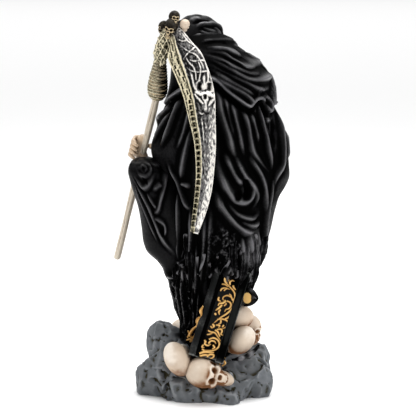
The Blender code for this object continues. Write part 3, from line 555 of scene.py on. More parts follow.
@dataclass(frozen=True)
class Finish:
    """A paint job: a ground coat, a wash in the hollows and dry brushing on the crests; on the black cloth
    the hollows also get painted shade and the crests painted highlights.
    """

    name: str
    ground: Colour
    crest: Colour
    hollow: Colour
    mottle: Colour
    mottle_mm: float = 9.0
    crest_range: Point = (0.55, 0.80)
    hollow_range: Point = (0.45, 0.25)
    roughness: Point = (0.40, 0.60)
    metallic: float = 0.0
    specular: Point = (0.5, 0.5)
    gloss_range: Point = (0.30, 0.62)
    grain_mm: float = 0.9
    grain_depth_mm: float = 0.05
    brush_mm: float = 1.6
    brush_break: float = 0.25
    streak: Point = (1.0, 1.0, 1.0)
    FRAY_DEPTH: ClassVar[float] = 10.0
    MOTTLE_RANGE: ClassVar[Point] = (0.35, 0.65)
    ROUGH_RANGE: ClassVar[Point] = (0.35, 0.70)
    ROUGH_SWING: ClassVar[float] = 0.25
    BUMP_STRENGTH: ClassVar[float] = 0.8

    def material(self) -> bpy.types.Material:
        """Makes the finish's material once, and gives the same one after that.

        Returns:
            The material.
        """
        made = bpy.data.materials.get(self.name)
        if made:
            return made
        made = bpy.data.materials.new(self.name)
        made.use_nodes = True
        web = Web(made.node_tree)
        shader = made.node_tree.nodes["Principled BSDF"]
        shader.inputs["Metallic"].default_value = self.metallic
        place = web.add("ShaderNodeTexCoord").outputs["Object"]
        stretched = web.add("ShaderNodeMapping", {"Vector": place, "Scale": self.streak}).outputs[0]
        patches = self.noise(web, stretched, self.mottle_mm, 4.0)
        brush = self.noise(web, stretched, self.brush_mm, 3.0)
        grain = self.noise(web, stretched, self.grain_mm, 4.0)
        relief = web.add("ShaderNodeAttribute", attribute_name="relief").outputs["Fac"]
        frayed = web.add("ShaderNodeAttribute", attribute_name="frayed").outputs["Fac"]
        breaking = web.math("ADD", frayed, self.brush_break)
        swing = web.math("MULTIPLY", web.math("SUBTRACT", brush, 0.5), breaking)
        # A shift of the paint at each point: real wear or stain on some pieces, painted highlight and painted
        # shade on others.
        wear_and_painted_light = web.add("ShaderNodeAttribute", attribute_name="wear_and_painted_light").outputs["Fac"]
        height = web.math("ADD", web.math("ADD", relief, swing), wear_and_painted_light)
        crest = web.ramp(height, *self.crest_range)
        hollow = web.ramp(height, *self.hollow_range)
        coat = web.mix(web.ramp(patches, *self.MOTTLE_RANGE), self.ground, self.mottle)
        coat = web.mix(crest, coat, self.crest)
        coat = web.mix(hollow, coat, self.hollow)
        web.tree.links.new(coat, shader.inputs["Base Color"])
        gloss = web.ramp(height, *self.gloss_range, self.specular)
        web.tree.links.new(gloss, shader.inputs["Specular IOR Level"])
        rough = web.ramp(height, *self.ROUGH_RANGE, self.roughness[::-1])
        unevenness = web.math("MULTIPLY", web.math("SUBTRACT", patches, 0.5), self.ROUGH_SWING)
        varied = web.math("ADD", rough, unevenness)
        web.tree.links.new(varied, shader.inputs["Roughness"])
        rough_cast = web.math("MULTIPLY", web.math("MULTIPLY", brush, frayed), self.FRAY_DEPTH)
        cast = web.math("ADD", grain, rough_cast)
        depth = self.grain_depth_mm * MM
        bump = {"Strength": self.BUMP_STRENGTH, "Distance": depth, "Height": cast}
        web.tree.links.new(web.add("ShaderNodeBump", bump).outputs[0], shader.inputs["Normal"])
        return made

    def noise(self, web: Web, place: Socket, size_mm: float, detail: float) -> Any:
        """Adds an uneven field.

        Args:
            web: The material's nodes.
            place: Where the field is read.
            size_mm: Width of its bumps.
            detail: How much finer detail it has.

        Returns:
            The field's socket.
        """
        inputs = {"Vector": place, "Scale": 1.0 / (size_mm * MM), "Detail": detail}
        return web.add("ShaderNodeTexNoise", inputs).outputs[0]


# The black cloth: its crest colour is partly dry brushing and partly painted highlight on the folds. Its
# hollow colour, and the loss of gloss in its hollows, are painted shade in the creases.
CLOTH = Finish(
    "black_cloth", (0.0030, 0.0030, 0.0033), (0.085, 0.083, 0.090), (0.0004, 0.0004, 0.0004),
    (0.0055, 0.0054, 0.0060), mottle_mm=24.0, roughness=(0.32, 0.6), grain_mm=0.7, grain_depth_mm=0.03,
    crest_range=(0.53, 1.0), hollow_range=(0.50, 0.38), brush_break=0.10, specular=(0.01, 0.46),
    gloss_range=(0.42, 0.88),
)
BONE = Finish(
    "stained_bone", (0.58, 0.48, 0.38), (0.74, 0.66, 0.57), (0.19, 0.080, 0.030), (0.52, 0.41, 0.31),
    mottle_mm=16.0, crest_range=(0.56, 0.85), hollow_range=(0.50, 0.10), roughness=(0.40, 0.6),
    grain_mm=1.2, grain_depth_mm=0.02, brush_mm=3.0, brush_break=0.26, specular=(0.2, 0.5),
)
STONE = Finish(
    "pitted_stone", (0.112, 0.120, 0.130), (0.18, 0.19, 0.20), (0.034, 0.029, 0.015), (0.094, 0.101, 0.107),
    mottle_mm=22.0, crest_range=(0.58, 0.95), hollow_range=(0.40, 0.12), roughness=(0.55, 0.8),
    grain_mm=1.6, grain_depth_mm=0.10, brush_break=0.14, specular=(0.1, 0.4),
)
BOOK_BLACK = Finish(
    "black_leather", (0.0095, 0.0102, 0.0100), (0.125, 0.130, 0.122), (0.001, 0.001, 0.001),
    (0.010, 0.0105, 0.0105), roughness=(0.42, 0.6), grain_mm=0.8, grain_depth_mm=0.05,
    crest_range=(0.60, 0.95), specular=(0.0, 0.45), gloss_range=(0.50, 0.85), brush_break=0.20,
)
GILT = Finish(
    "rubbed_gilt", (0.50, 0.26, 0.060), (0.84, 0.53, 0.18), (0.085, 0.030, 0.006), (0.40, 0.20, 0.045),
    mottle_mm=4.0, crest_range=(0.5, 0.8), hollow_range=(0.46, 0.22), roughness=(0.36, 0.6),
    metallic=0.35, grain_mm=0.6, grain_depth_mm=0.05,
)
SILVER = Finish(
    "worn_silver", (0.078, 0.075, 0.076), (0.74, 0.71, 0.66), (0.005, 0.005, 0.005), (0.150, 0.145, 0.142),
    mottle_mm=3.0, crest_range=(0.53, 0.82), hollow_range=(0.45, 0.26), roughness=(0.34, 0.55),
    metallic=0.25, grain_mm=0.7, grain_depth_mm=0.12, brush_mm=1.0, brush_break=0.60,
    streak=(1.0, 1.0, 0.35), specular=(0.1, 0.5), gloss_range=(0.40, 0.70),
)
OLD_BONE = Finish(
    "washed_bone", (0.095, 0.086, 0.058), (0.68, 0.61, 0.42), (0.003, 0.003, 0.002),
    (0.15, 0.135, 0.085), mottle_mm=3.0, crest_range=(0.52, 0.80), hollow_range=(0.48, 0.34),
    roughness=(0.36, 0.6), metallic=0.1, grain_mm=0.7, grain_depth_mm=0.10, brush_mm=1.1,
    brush_break=0.46, specular=(0.0, 0.5), gloss_range=(0.44, 0.75),
)
DARK_BONE = Finish(
    "blackened_bone", (0.012, 0.010, 0.008), (0.50, 0.39, 0.23), (0.001, 0.001, 0.001),
    (0.030, 0.025, 0.018), mottle_mm=3.0, crest_range=(0.58, 0.92), hollow_range=(0.48, 0.34),
    roughness=(0.34, 0.6), grain_mm=0.7, grain_depth_mm=0.05, brush_mm=1.2, brush_break=0.40,
    specular=(0.0, 0.5), gloss_range=(0.46, 0.80),
)
SHAFT_BONE = Finish(
    "streaked_bone", (0.33, 0.27, 0.20), (0.56, 0.49, 0.39), (0.020, 0.014, 0.008), (0.17, 0.125, 0.085),
    mottle_mm=3.0, crest_range=(0.52, 0.80), hollow_range=(0.46, 0.26), roughness=(0.5, 0.65),
    grain_mm=0.8, grain_depth_mm=0.06, brush_break=0.5, streak=(1.0, 1.0, 0.22),
)
HAND_BONE = Finish(
    "hand_bone", (0.27, 0.165, 0.095), (0.50, 0.37, 0.25), (0.030, 0.012, 0.005), (0.20, 0.11, 0.055),
    mottle_mm=4.0, crest_range=(0.52, 0.85), hollow_range=(0.47, 0.25), roughness=(0.45, 0.6),
    grain_mm=0.8, grain_depth_mm=0.03,
)
PAPER = Finish(
    "page_edges", (0.40, 0.33, 0.22), (0.52, 0.45, 0.32), (0.10, 0.07, 0.04), (0.32, 0.25, 0.16),
    mottle_mm=6.0, roughness=(0.7, 0.8), grain_mm=0.4, grain_depth_mm=0.05,
)


def socket_key(tree: Tree, name: str) -> str:
    """Finds a tree's input by its name.

    Args:
        tree: The geometry node tree.
        name: The input's name.

    Returns:
        The input's identifier.
    """
    return next(
        item.identifier
        for item in tree.interface.items_tree
        if item.item_type == "SOCKET" and item.in_out == "INPUT" and item.name == name
    )


class Trees:
    """The geometry node trees for what repeats or follows a path, each made once."""

    @staticmethod
    def start(name: str, inputs: dict[str, tuple[str, Any]]) -> tuple[Tree, Web, Any]:
        """Starts a tree.

        Args:
            name: The tree's name.
            inputs: Each input's name, with its socket type and its value at the start.

        Returns:
            The tree, its web and its group input node.
        """
        tree = bpy.data.node_groups.new(name, "GeometryNodeTree")
        tree.interface.new_socket("Geometry", in_out="INPUT", socket_type="NodeSocketGeometry")
        tree.interface.new_socket("Geometry", in_out="OUTPUT", socket_type="NodeSocketGeometry")
        for label, (kind, value) in {**inputs, "Paint": ("NodeSocketMaterial", None)}.items():
            made = tree.interface.new_socket(label, in_out="INPUT", socket_type=kind)
            if value is not None:
                made.default_value = value
        web = Web(tree)
        return tree, web, web.add("NodeGroupInput")

    @staticmethod
    def end(web: Web, shape: Socket, source: bpy.types.Node) -> None:
        """Ends a tree with real geometry, shaded smooth and in its paint.

        Args:
            web: The tree's web.
            shape: The shape's socket.
            source: The group input, which holds the paint.
        """
        smooth = web.add("GeometryNodeSetShadeSmooth", {0: shape}).outputs[0]
        real = web.add("GeometryNodeRealizeInstances", {"Geometry": smooth}).outputs[0]
        paint = {"Geometry": real, "Material": source.outputs["Paint"]}
        painted = web.add("GeometryNodeSetMaterial", paint).outputs[0]
        web.add("NodeGroupOutput", {0: painted})

    @staticmethod
    def tube(web: Web, curve: Socket, sides: Any, radius: Any) -> bpy.types.Node:
        """Runs a round section along a curve.

        Args:
            web: The tree's web.
            curve: The curve's socket.
            sides: How many sides the section has.
            radius: Its radius.

        Returns:
            The node that makes the tube.
        """
        ring = {"Resolution": sides, "Radius": radius}
        profile = web.add("GeometryNodeCurvePrimitiveCircle", ring).outputs[0]
        body = {"Curve": curve, "Profile Curve": profile, "Fill Caps": True}
        return web.add("GeometryNodeCurveToMesh", body)

    @classmethod
    @cache
    def sweep(cls) -> Tree:
        """Builds the tree that makes round bars along lines, as thick as their points say.

        Returns:
            The tree, with the number of sides as its input.
        """
        tree, web, source = cls.start("swept_bars", {"Sides": ("NodeSocketInt", 10)})
        curve = web.add("GeometryNodeMeshToCurve", {"Mesh": source.outputs["Geometry"]}).outputs[0]
        thick = web.add("GeometryNodeInputNamedAttribute", {"Name": "thickness"}, data_type="FLOAT")
        radii = {"Curve": curve, "Radius": thick.outputs[0]}
        sized = web.add("GeometryNodeSetCurveRadius", radii).outputs[0]
        made = cls.tube(web, sized, source.outputs["Sides"], 1.0)
        if "Scale" in made.inputs:
            web.tree.links.new(thick.outputs[0], made.inputs["Scale"])
        cls.end(web, made.outputs[0], source)
        return tree

    @classmethod
    @cache
    def winding(cls) -> Tree:
        """Builds the tree that winds a cord round a bar, as far out as the bar's points say.

        Returns:
            The tree, with the turns, the cord's radius and the number of steps as its inputs.
        """
        sizes = {
            "Turns": ("NodeSocketFloat", 12.0),
            "Cord Radius": ("NodeSocketFloat", 0.0006),
            "Steps": ("NodeSocketInt", 400),
        }
        tree, web, source = cls.start("cord_winding", sizes)
        axis = web.add("GeometryNodeMeshToCurve", {"Mesh": source.outputs["Geometry"]}).outputs[0]
        line = web.add("GeometryNodeCurvePrimitiveLine").outputs[0]
        steps = {"Curve": line, "Count": source.outputs["Steps"]}
        points = web.add("GeometryNodeResampleCurve", steps, mode="COUNT").outputs[0]
        share = web.add("GeometryNodeSplineParameter").outputs["Factor"]
        thick = web.add("GeometryNodeInputNamedAttribute", {"Name": "thickness"}, data_type="FLOAT")
        read = {"Curves": axis, "Value": thick.outputs[0], "Factor": share}
        sample = web.add("GeometryNodeSampleCurve", read, mode="FACTOR", data_type="FLOAT")
        turn = web.math("MULTIPLY", web.math("MULTIPLY", share, source.outputs["Turns"]), 2 * math.pi)
        axes = {0: sample.outputs["Tangent"], 1: sample.outputs["Normal"]}
        side = web.add("ShaderNodeVectorMath", axes, operation="CROSS_PRODUCT").outputs[0]
        place = sample.outputs["Position"]
        for direction, wave in ((sample.outputs["Normal"], "COSINE"), (side, "SINE")):
            size = web.math("MULTIPLY", web.math(wave, turn, 0.0), sample.outputs[0])
            scaled = {0: direction, "Scale": size}
            step = web.add("ShaderNodeVectorMath", scaled, operation="SCALE").outputs[0]
            place = web.add("ShaderNodeVectorMath", {0: place, 1: step}, operation="ADD").outputs[0]
        wound = web.add("GeometryNodeSetPosition", {"Geometry": points, "Position": place}).outputs[0]
        cls.end(web, cls.tube(web, wound, 8, source.outputs["Cord Radius"]).outputs[0], source)
        return tree


def grown(name: str, tree: Tree, lines: Sequence[tuple[Array, Any]], values: dict[str, Any],
          finish: Finish) -> Piece:
    """Grows a shape on lines with a geometry node tree and keeps it as a plain mesh.

    Args:
        name: The piece's name.
        tree: The node tree.
        lines: Each line's points in mm, with one thickness or one for each point, in mm.
        values: The tree's inputs by name.
        finish: The paint.

    Returns:
        The piece, with no modifier left on it.
    """
    points = np.vstack([np.asarray(line, float) for line, _ in lines]) * MM
    sizes = [np.broadcast_to(np.asarray(size, float), (len(line),)) for line, size in lines]
    edges = []
    start = 0
    for line, _ in lines:
        edges += [(k, k + 1) for k in range(start, start + len(line) - 1)]
        start += len(line)
    guide = bpy.data.meshes.new(f"{name}_guide")
    guide.from_pydata(points.tolist(), edges, [])
    thickness = guide.attributes.new("thickness", "FLOAT", "POINT")
    thickness.data.foreach_set("value", (np.concatenate(sizes) * MM).astype(np.float32))
    piece = linked(name, guide)
    modifier = piece.modifiers.new(tree.name, "NODES")
    modifier.node_group = tree
    for key, value in {**values, "Paint": finish.material()}.items():
        modifier[socket_key(tree, key)] = value
    settle(piece)
    return piece


def dressed(piece: Piece, finish: Finish, slot: Slot, node: Node,
            marks: Sequence[float] = (14, 0.6)) -> Piece:
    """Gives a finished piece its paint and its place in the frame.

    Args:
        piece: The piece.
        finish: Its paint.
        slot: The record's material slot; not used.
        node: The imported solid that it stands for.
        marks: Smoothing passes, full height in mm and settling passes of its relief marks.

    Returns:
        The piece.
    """
    if not piece.data.materials:
        piece.data.materials.append(finish.material())
    mark_relief(piece, *marks)
    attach(piece, ROOT)
    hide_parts(node.value)
    LOG.info("%s: %d faces", piece.name, len(piece.data.polygons))
    return piece


class Drape:
    """A hanging cloth form: oval sections from an outline table, carved with folds."""

    ROUND = 45.0
    SQUARENESS = 0.92
    CREST_BLUNT = 0.75
    BOLDNESS = 1.0

    def __init__(self, outline: Sequence[Point], ridges: Iterable[Ridge]) -> None:
        """Reads the outline and lays the folds out on the unrolled cloth.

        Args:
            outline: Rows of back-view row, left and right edge in pixels, back and front in mm.
            ridges: The folds, along lines of pixels.
        """
        table = np.asarray(outline, float)
        left = VIEW.spot(table[:, 1], table[:, 0], 0.0)
        right = VIEW.spot(table[:, 2], table[:, 0], 0.0)
        order = np.argsort(left[:, 2])
        self.heights = left[order, 2]
        self.rows = np.column_stack([left[:, 0], right[:, 0], table[:, 3], table[:, 4]])[order]
        self.ridges = [(ridge, self.unroll(ridge.drawn())) for ridge in ridges]

    def section(self, heights: Array) -> tuple[Array, Array, Array, Array]:
        """Returns the middle and half width, and the middle and half depth, at heights."""
        left, right, back, front = between(self.rows, self.heights, heights).T
        return (left + right) / 2, (left - right) / 2, (back + front) / 2, (back - front) / 2

    def unroll(self, pixels: Array) -> Array:
        """Finds where pixels fall on the unrolled cloth.

        Args:
            pixels: Pixels of the back view, one on each row.

        Returns:
            Arc and height in mm, one pair on each row.
        """
        depth = np.full(len(pixels), 30.0)
        for _ in range(4):
            place = VIEW.spot(pixels[:, 0], pixels[:, 1], depth)
            middle, half, centre, deep = self.section(place[:, 2])
            across = np.clip((place[:, 0] - middle) / half, -1.0, 1.0)
            angle = np.arccos(np.sign(across) * np.abs(across) ** (1.0 / self.SQUARENESS))
            depth = centre + deep * np.sin(angle) ** self.SQUARENESS
        return np.column_stack([angle * self.ROUND, place[:, 2]])

    def lift(self, arc: Array, height: Array) -> Array:
        """Returns how far the carving stands out at places on the unrolled cloth."""
        return self.BOLDNESS * ridge_field(np.column_stack([arc, height]), self.ridges, self.CREST_BLUNT)

    def surface(self, theta: Array, height: Array, proud: Any = 0.0) -> Array:
        """Finds places on the carved cloth.

        Args:
            theta: Angles round the figure from its left side, in one flat array.
            height: The height at each angle, in mm.
            proud: How far the place stands out of the cloth.

        Returns:
            The places in mm, one on each row.
        """
        levels, index = np.unique(height, return_inverse=True)
        middle, half, centre, depth = (v[index] for v in self.section(levels))
        x = middle + half * np.sign(np.cos(theta)) * np.abs(np.cos(theta)) ** self.SQUARENESS
        y = centre + depth * np.sign(np.sin(theta)) * np.abs(np.sin(theta)) ** self.SQUARENESS
        out = unit(np.column_stack([np.cos(theta) / half, np.sin(theta) / depth]))
        raised = self.lift(theta * self.ROUND, height) + proud
        return np.column_stack([x + out[:, 0] * raised, y + out[:, 1] * raised, height])

    def rings(self, back_columns: int, front_columns: int, rows: int) -> Array:
        """Lays out the form's rings of points, finer on its back than on its front.

        Args:
            back_columns: How many points a ring has on the back.
            front_columns: How many it has on the front.
            rows: How many rings there are.

        Returns:
            The rings in mm, bottom to top.
        """
        front = np.linspace(-math.pi, 0.0, front_columns, endpoint=False)
        back = np.linspace(0.0, math.pi, back_columns, endpoint=False)
        heights = np.linspace(self.heights[0], self.heights[-1], rows)
        theta, level = np.meshgrid(np.concatenate([front, back]), heights)
        return self.surface(theta.ravel(), level.ravel()).reshape(*theta.shape, 3)


# The robe's outline, top to bottom: back-view row, left edge, right edge (pixels), back and front (mm)
ROBE_OUTLINE = (
    (30, 190, 216, 8, -18), (37, 183, 226, 16, -24), (45, 178, 237, 24, -27), (53, 174, 245, 29, -28),
    (61, 172, 258, 32, -29), (69, 171, 264, 34, -30), (80, 170, 269, 36, -31), (94, 167, 272, 37, -33),
    (110, 160, 279, 37, -34), (130, 153, 286, 37, -35), (147, 148, 290, 37, -36), (165, 152, 292, 37, -37),
    (177, 157, 292, 38, -38), (186, 158, 288, 38, -38), (195, 159, 282.5, 38, -38),
    (206, 160, 279, 38, -39), (232, 160, 273, 36, -40), (252, 161, 266.5, 34, -40),
    (268, 163, 260, 31, -39), (283, 167, 256, 25, -38), (300, 172, 253, 20, -37),
    (322, 175, 250, 18, -36), (345, 175, 248, 17, -35), (370, 176, 246, 16, -34),
)
# The mantle's folds: height and half width (mm), and the line in back-view pixels
MANTLE_FOLDS = (
    Ridge(2.6, 3.2, ((199, 42), (206, 39.5), (215, 38.5), (226, 38), (234, 39.5), (239, 44))),
    Ridge(-1.4, 1.8, ((203, 44), (214, 43), (224, 44), (231, 47))),
    Ridge(3.0, 3.8, ((204, 47.5), (214, 46.5), (222, 47), (230, 50), (237, 54), (244, 59))),
    Ridge(3.0, 3.6, ((238, 50), (250, 53), (257, 58), (258, 63))),
    Ridge(3.4, 3.6, ((203, 50.5), (222, 53), (230, 58), (237, 62), (243, 66), (250, 67), (257, 65))),
    Ridge(3.6, 3.8, ((204, 55), (222, 60), (232, 66), (240, 70), (248, 73), (256, 73.5), (262, 70))),
    Ridge(4.2, 4.4, ((207, 57), (228, 68), (238, 74), (246, 78), (255, 79), (268, 75), (271, 70))),
    Ridge(3.6, 3.8, ((207, 64), (228, 74), (238, 79), (248, 84), (256, 88), (262, 89), (270, 86))),
    Ridge(3.4, 3.2, ((209, 68), (222, 76), (232, 82), (242, 88), (250, 93), (256, 97))),
    Ridge(3.2, 3.2, ((210, 72), (220, 79), (230, 85), (240, 91), (247, 96), (253, 101), (257, 99))),
    Ridge(3.2, 3.4, ((258, 60), (264, 64), (268, 71), (270, 80), (271, 92), (272, 106), (270, 113))),
    Ridge(2.8, 3.0, ((258, 97), (262, 96), (267, 99), (270, 106), (271, 114), (267, 121), (262, 116))),
    Ridge(2.2, 2.4, ((252, 108), (256, 106), (258, 101))),
)
# The folds of the cloak below it, in the same measures
CLOAK_FOLDS = (
    Ridge(3.4, 3.6, ((217, 88), (219, 98), (222, 112), (226, 125), (230, 137), (233, 150), (238, 165))),
    Ridge(2.8, 2.8, ((223, 92), (226, 102), (229, 117), (233, 132), (237, 146))),
    Ridge(3.0, 3.0, ((230, 98), (233, 108), (236, 120), (239, 132), (242, 145), (246, 158))),
    Ridge(3.0, 3.2, ((243, 104), (246, 115), (249, 127), (251, 140), (254, 152), (262, 164), (272, 174))),
    Ridge(2.6, 2.8, ((251, 110), (254, 122), (257, 133), (260, 145))),
    Ridge(3.2, 3.2, ((260, 103), (262, 115), (264, 127), (267, 137), (269, 148), (272, 160), (274, 173))),
    Ridge(2.4, 2.6, ((264, 122), (266, 128), (270, 137))),
    Ridge(3.4, 3.6, ((277, 106), (281, 120), (283, 135), (284, 150), (283, 165), (278, 176), (275, 190))),
    Ridge(2.4, 2.4, ((286, 122), (288, 138), (289, 152), (288, 163))),
    Ridge(3.4, 3.6, ((217, 150), (218, 163), (221, 175), (226, 187), (232, 197), (238, 202), (245, 203),
                     (251, 199), (254, 191), (254, 183), (250, 174))),
    Ridge(3.0, 3.0, ((224, 150), (229, 163), (235, 175), (240, 182), (245, 185))),
    Ridge(3.0, 3.0, ((232, 150), (238, 162), (243, 172), (249, 181), (256, 190), (258, 200), (254, 208))),
    Ridge(3.0, 3.0, ((248, 150), (254, 162), (262, 176), (266, 192), (267, 208), (266, 222))),
    Ridge(3.2, 3.4, ((276, 176), (272, 192), (269, 208), (267, 222), (266, 236), (265, 246))),
    Ridge(3.2, 3.4, ((215, 186), (218, 196), (222, 206), (229, 216), (237, 225), (245, 231), (252, 233),
                     (257, 231))),
    Ridge(2.6, 2.8, ((222, 190), (228, 203), (236, 213), (245, 218), (254, 219), (261, 214))),
    Ridge(2.4, 2.6, ((236, 218), (246, 224), (256, 226), (262, 221))),
    Ridge(2.6, 3.0, ((271, 196), (270, 212), (268, 226), (267, 240), (265, 254))),
    Ridge(3.0, 3.2, ((181, 90), (177, 103), (172, 116), (165, 134), (158, 146))),
    Ridge(2.4, 2.6, ((190, 104), (187, 118), (182, 136), (176, 150))),
    Ridge(2.6, 2.8, ((192, 124), (188, 138), (184, 155), (181, 170), (178, 184))),
    Ridge(2.4, 2.4, ((172, 100), (166, 108), (158, 116), (152, 126))),
    Ridge(2.2, 2.2, ((170, 111), (163, 120), (156, 132), (152, 141))),
    Ridge(2.6, 2.8, ((165, 162), (170, 172), (176, 181), (180, 192), (184, 203), (188, 208), (192, 206))),
    Ridge(2.4, 2.4, ((178, 184), (184, 185), (190, 188))),
    Ridge(2.8, 2.8, ((177, 186), (177, 205), (177, 228), (177, 250), (178, 268))),
    Ridge(-3.0, 3.4, ((172, 190), (171, 210), (172, 232))),
    Ridge(-2.4, 2.6, ((247, 182), (249, 190), (248, 197)), False),
    Ridge(-2.4, 2.4, ((238, 194), (238, 199)), False),
    Ridge(-2.8, 4.0, ((276, 118), (276, 134), (276, 150))),
    Ridge(-2.0, 3.0, ((265, 103), (265, 112)), False),
    Ridge(-1.6, 2.4, ((265, 66), (267, 71)), False),
)
# The folds of the robe's lower part
LOWER_FOLDS = (
    Ridge(2.8, 3.0, ((189, 206), (190, 230), (189, 254), (186, 276))),
    Ridge(2.4, 2.4, ((196, 236), (196, 260), (195, 286), (193, 300))),
    Ridge(2.6, 2.6, ((204, 212), (204, 238), (202, 262), (199, 290))),
    Ridge(2.2, 2.2, ((210, 210), (209, 236), (208, 262), (205, 288))),
    Ridge(3.2, 5.0, ((251, 232), (252, 250), (251, 268), (249, 284))),
    Ridge(2.6, 3.0, ((243, 236), (244, 254), (243, 272), (240, 286))),
    Ridge(2.4, 2.6, ((261, 232), (260, 250), (257, 268), (255, 284))),
    Ridge(2.6, 2.6, ((165, 262), (169, 284), (173, 304), (176, 322))),
    Ridge(2.6, 2.6, ((172, 262), (175, 286), (178, 306), (180, 330))),
    Ridge(2.8, 2.8, ((179, 272), (181, 296), (184, 318), (185, 340))),
    Ridge(-3.4, 3.4, ((186, 262), (187, 282), (188, 300))),
    Ridge(2.2, 2.2, ((192, 290), (193, 312), (192, 334))),
    Ridge(2.2, 2.2, ((198, 290), (197, 312), (195, 330))),
)
# The mantle's hem, left to right, in back-view pixels
MANTLE_HEM = (
    (170, 100), (182, 92), (200, 82), (215, 82), (226, 92), (238, 101), (250, 108.5), (256, 102),
    (262, 101), (269, 113), (272.5, 109), (274, 104),
)


class RobeForm(Drape):
    """The robe with its mantle above and its ragged outer hem below.

    BOOK_ROOM is the hollow that the book stands in: its middle in pixels, its reach and its depth in mm.
    FRAYED_ZONES and LIGHT_AND_SHADE_ZONES are middles and radii in pixels with an amount. RAGGED_WAVES are the outer
    hem's unevenness: height in mm, angle per mm and shift. TORN_ZONES are left, right, top and bottom in
    pixels with a number of threads. FRONT_ANGLES are the hidden front's folds, in degrees from the left side.
    """

    MANTLE_FRONT = 222.0
    MANTLE_DIP = 4.0
    OUTER_HEM = 88.0
    TONGUE_DEPTH = 7.0
    TONGUES = 17
    MANTLE_STEP = 2.2
    OUTER_STEP = 0.9
    ALLOWANCE = 3.2
    BOLDNESS = 1.35
    BOOK_ROOM = ((216.0, 275.0), (9.0, 15.0), 7.5)
    FRAYED_ZONES = (
        ((222, 249), (22, 24), 0.85), ((252, 270), (14, 20), 0.45), ((180, 305), (22, 42), 0.75),
        ((196, 250), (14, 16), 0.35), ((272, 92), (16, 9), 0.55), ((218, 72), (6, 6), 0.2),
    )
    # Zones of painted highlight (amount above 0) and painted shade (amount below 0) on the cloth
    LIGHT_AND_SHADE_ZONES = (
        ((252, 246), (13, 22), 0.21), ((222, 252), (20, 22), -0.07), ((190, 262), (24, 34), -0.10),
        ((186, 315), (22, 34), -0.10), ((228, 40), (18, 10), -0.03), ((272, 150), (20, 50), -0.03),
    )
    RAGGED_WAVES = ((5.0, 1.0 / 31.0, 0.0), (1.6, 1.9, 0.0), (1.1, 3.7, 1.0))
    TORN_ZONES = (
        (206, 240, 226, 268, 46), (240, 266, 236, 276, 30), (163, 182, 236, 300, 26),
        (178, 200, 298, 338, 26), (252, 276, 84, 100, 12),
    )
    FRONT_ANGLES = (-20, -38, -54, -70, -88, -106, -122, -140, -158)

    def __init__(self) -> None:
        """Lays out the folds that show and those of the hidden front."""
        folds = (*MANTLE_FOLDS, *self.rolled_hem(), *CLOAK_FOLDS, *LOWER_FOLDS, *self.frayed())
        super().__init__(ROBE_OUTLINE, folds)
        self.ridges += [self.front_fold(k, angle) for k, angle in enumerate(self.FRONT_ANGLES)]
        self.room = self.unroll(np.array([self.BOOK_ROOM[0]]))[0]

    def rolled_hem(self) -> tuple[Ridge, Ridge]:
        """Lays out the mantle's hem.

        Returns:
            Its thick edge and the deep shade below it.
        """
        edge = tuple((px, py - 2.2) for px, py in MANTLE_HEM)
        shade = tuple((px, py + 3.4) for px, py in MANTLE_HEM)
        return Ridge(2.4, 2.3, edge, False), Ridge(-2.2, 3.0, shade, False)

    @staticmethod
    def zoned(seen: Array, zones: Sequence[Any], rim: float, core: float) -> Array:
        """Spreads each zone's amount over the pixels in it.

        Args:
            seen: The pixels, one on each row.
            zones: Each zone's middle, radii and amount.
            rim: Where a zone starts, in shares of its radii.
            core: Where it reaches its full amount.

        Returns:
            The amounts, one row for each zone.
        """
        return np.array([
            amount * smooth_step(np.linalg.norm((seen - middle) / radii, axis=1), rim, core)
            for middle, radii, amount in zones
        ])

    def painted_light(self, places: Array) -> Array:
        """Finds the painted highlights and painted shade on the cloth, with a little painted shade all over
        below the mantle.

        Args:
            places: Places in mm, one on each row.

        Returns:
            The amount at each place: above 0 where a highlight is painted, below 0 where shade is painted.
        """
        seen = VIEW.pixel(places)
        share = -0.04 * smooth_step(seen[:, 1], 84.0, 104.0)
        return share + self.zoned(seen, self.LIGHT_AND_SHADE_ZONES, 1.2, 0.5).sum(axis=0)

    def fraying(self, places: Array) -> Array:
        """Finds how ragged the cloth is.

        Args:
            places: Places in mm, one on each row.

        Returns:
            The raggedness at each place, from 0 to 1.
        """
        share = self.zoned(VIEW.pixel(places), self.FRAYED_ZONES, 1.15, 0.55).max(axis=0)
        share = np.maximum(share, 0.05)
        low = 0.7 * smooth_step(places[:, 2], 95.0, 60.0)
        return np.where(places[:, 1] > 0.0, share, np.maximum(share, low))

    def frayed(self) -> list[Ridge]:
        """Lays out the fine threads of the torn zones, from one fixed seed.

        Returns:
            The threads as thin folds.
        """
        draw = np.random.default_rng(17)
        made = []
        for left, right, top, bottom, count in self.TORN_ZONES:
            for _ in range(count):
                x, y = draw.uniform(left, right), draw.uniform(top, bottom)
                run = draw.uniform(6.0, 16.0)
                sway = draw.uniform(-3.5, 3.5)
                line = ((x, y), (x + sway, y + run * 0.4), (x - sway * 0.6, y + run * 0.75), (x, y + run))
                made.append(Ridge(draw.uniform(0.9, 1.7), draw.uniform(0.9, 1.5), line))
        return made

    def front_fold(self, number: int, degrees: float) -> tuple[Ridge, Array]:
        """Lays out a fold of the front, which hangs from the neck or the belt.

        Args:
            number: Which fold it is.
            degrees: Its angle from the left side.

        Returns:
            The fold and its line on the unrolled cloth.
        """
        low, high = self.heights[0] + 20.0, self.heights[-1] - (28.0 if number % 2 else 60.0)
        sways = [3.4 * math.sin(1.7 * number + 1.3 * k) for k in range(3)]
        arc = math.radians(degrees) * self.ROUND
        start = math.radians(degrees * 0.9 - 9) * self.ROUND
        levels = [high + (low - high) * share for share in (0.36, 0.68, 1.0)]
        line = through(((start, high), *((arc + sway, level) for sway, level in zip(sways, levels))), 30)
        return Ridge(2.7 + 0.8 * math.sin(2.3 * number), 5.6 + 1.3 * math.cos(1.9 * number), ()), line

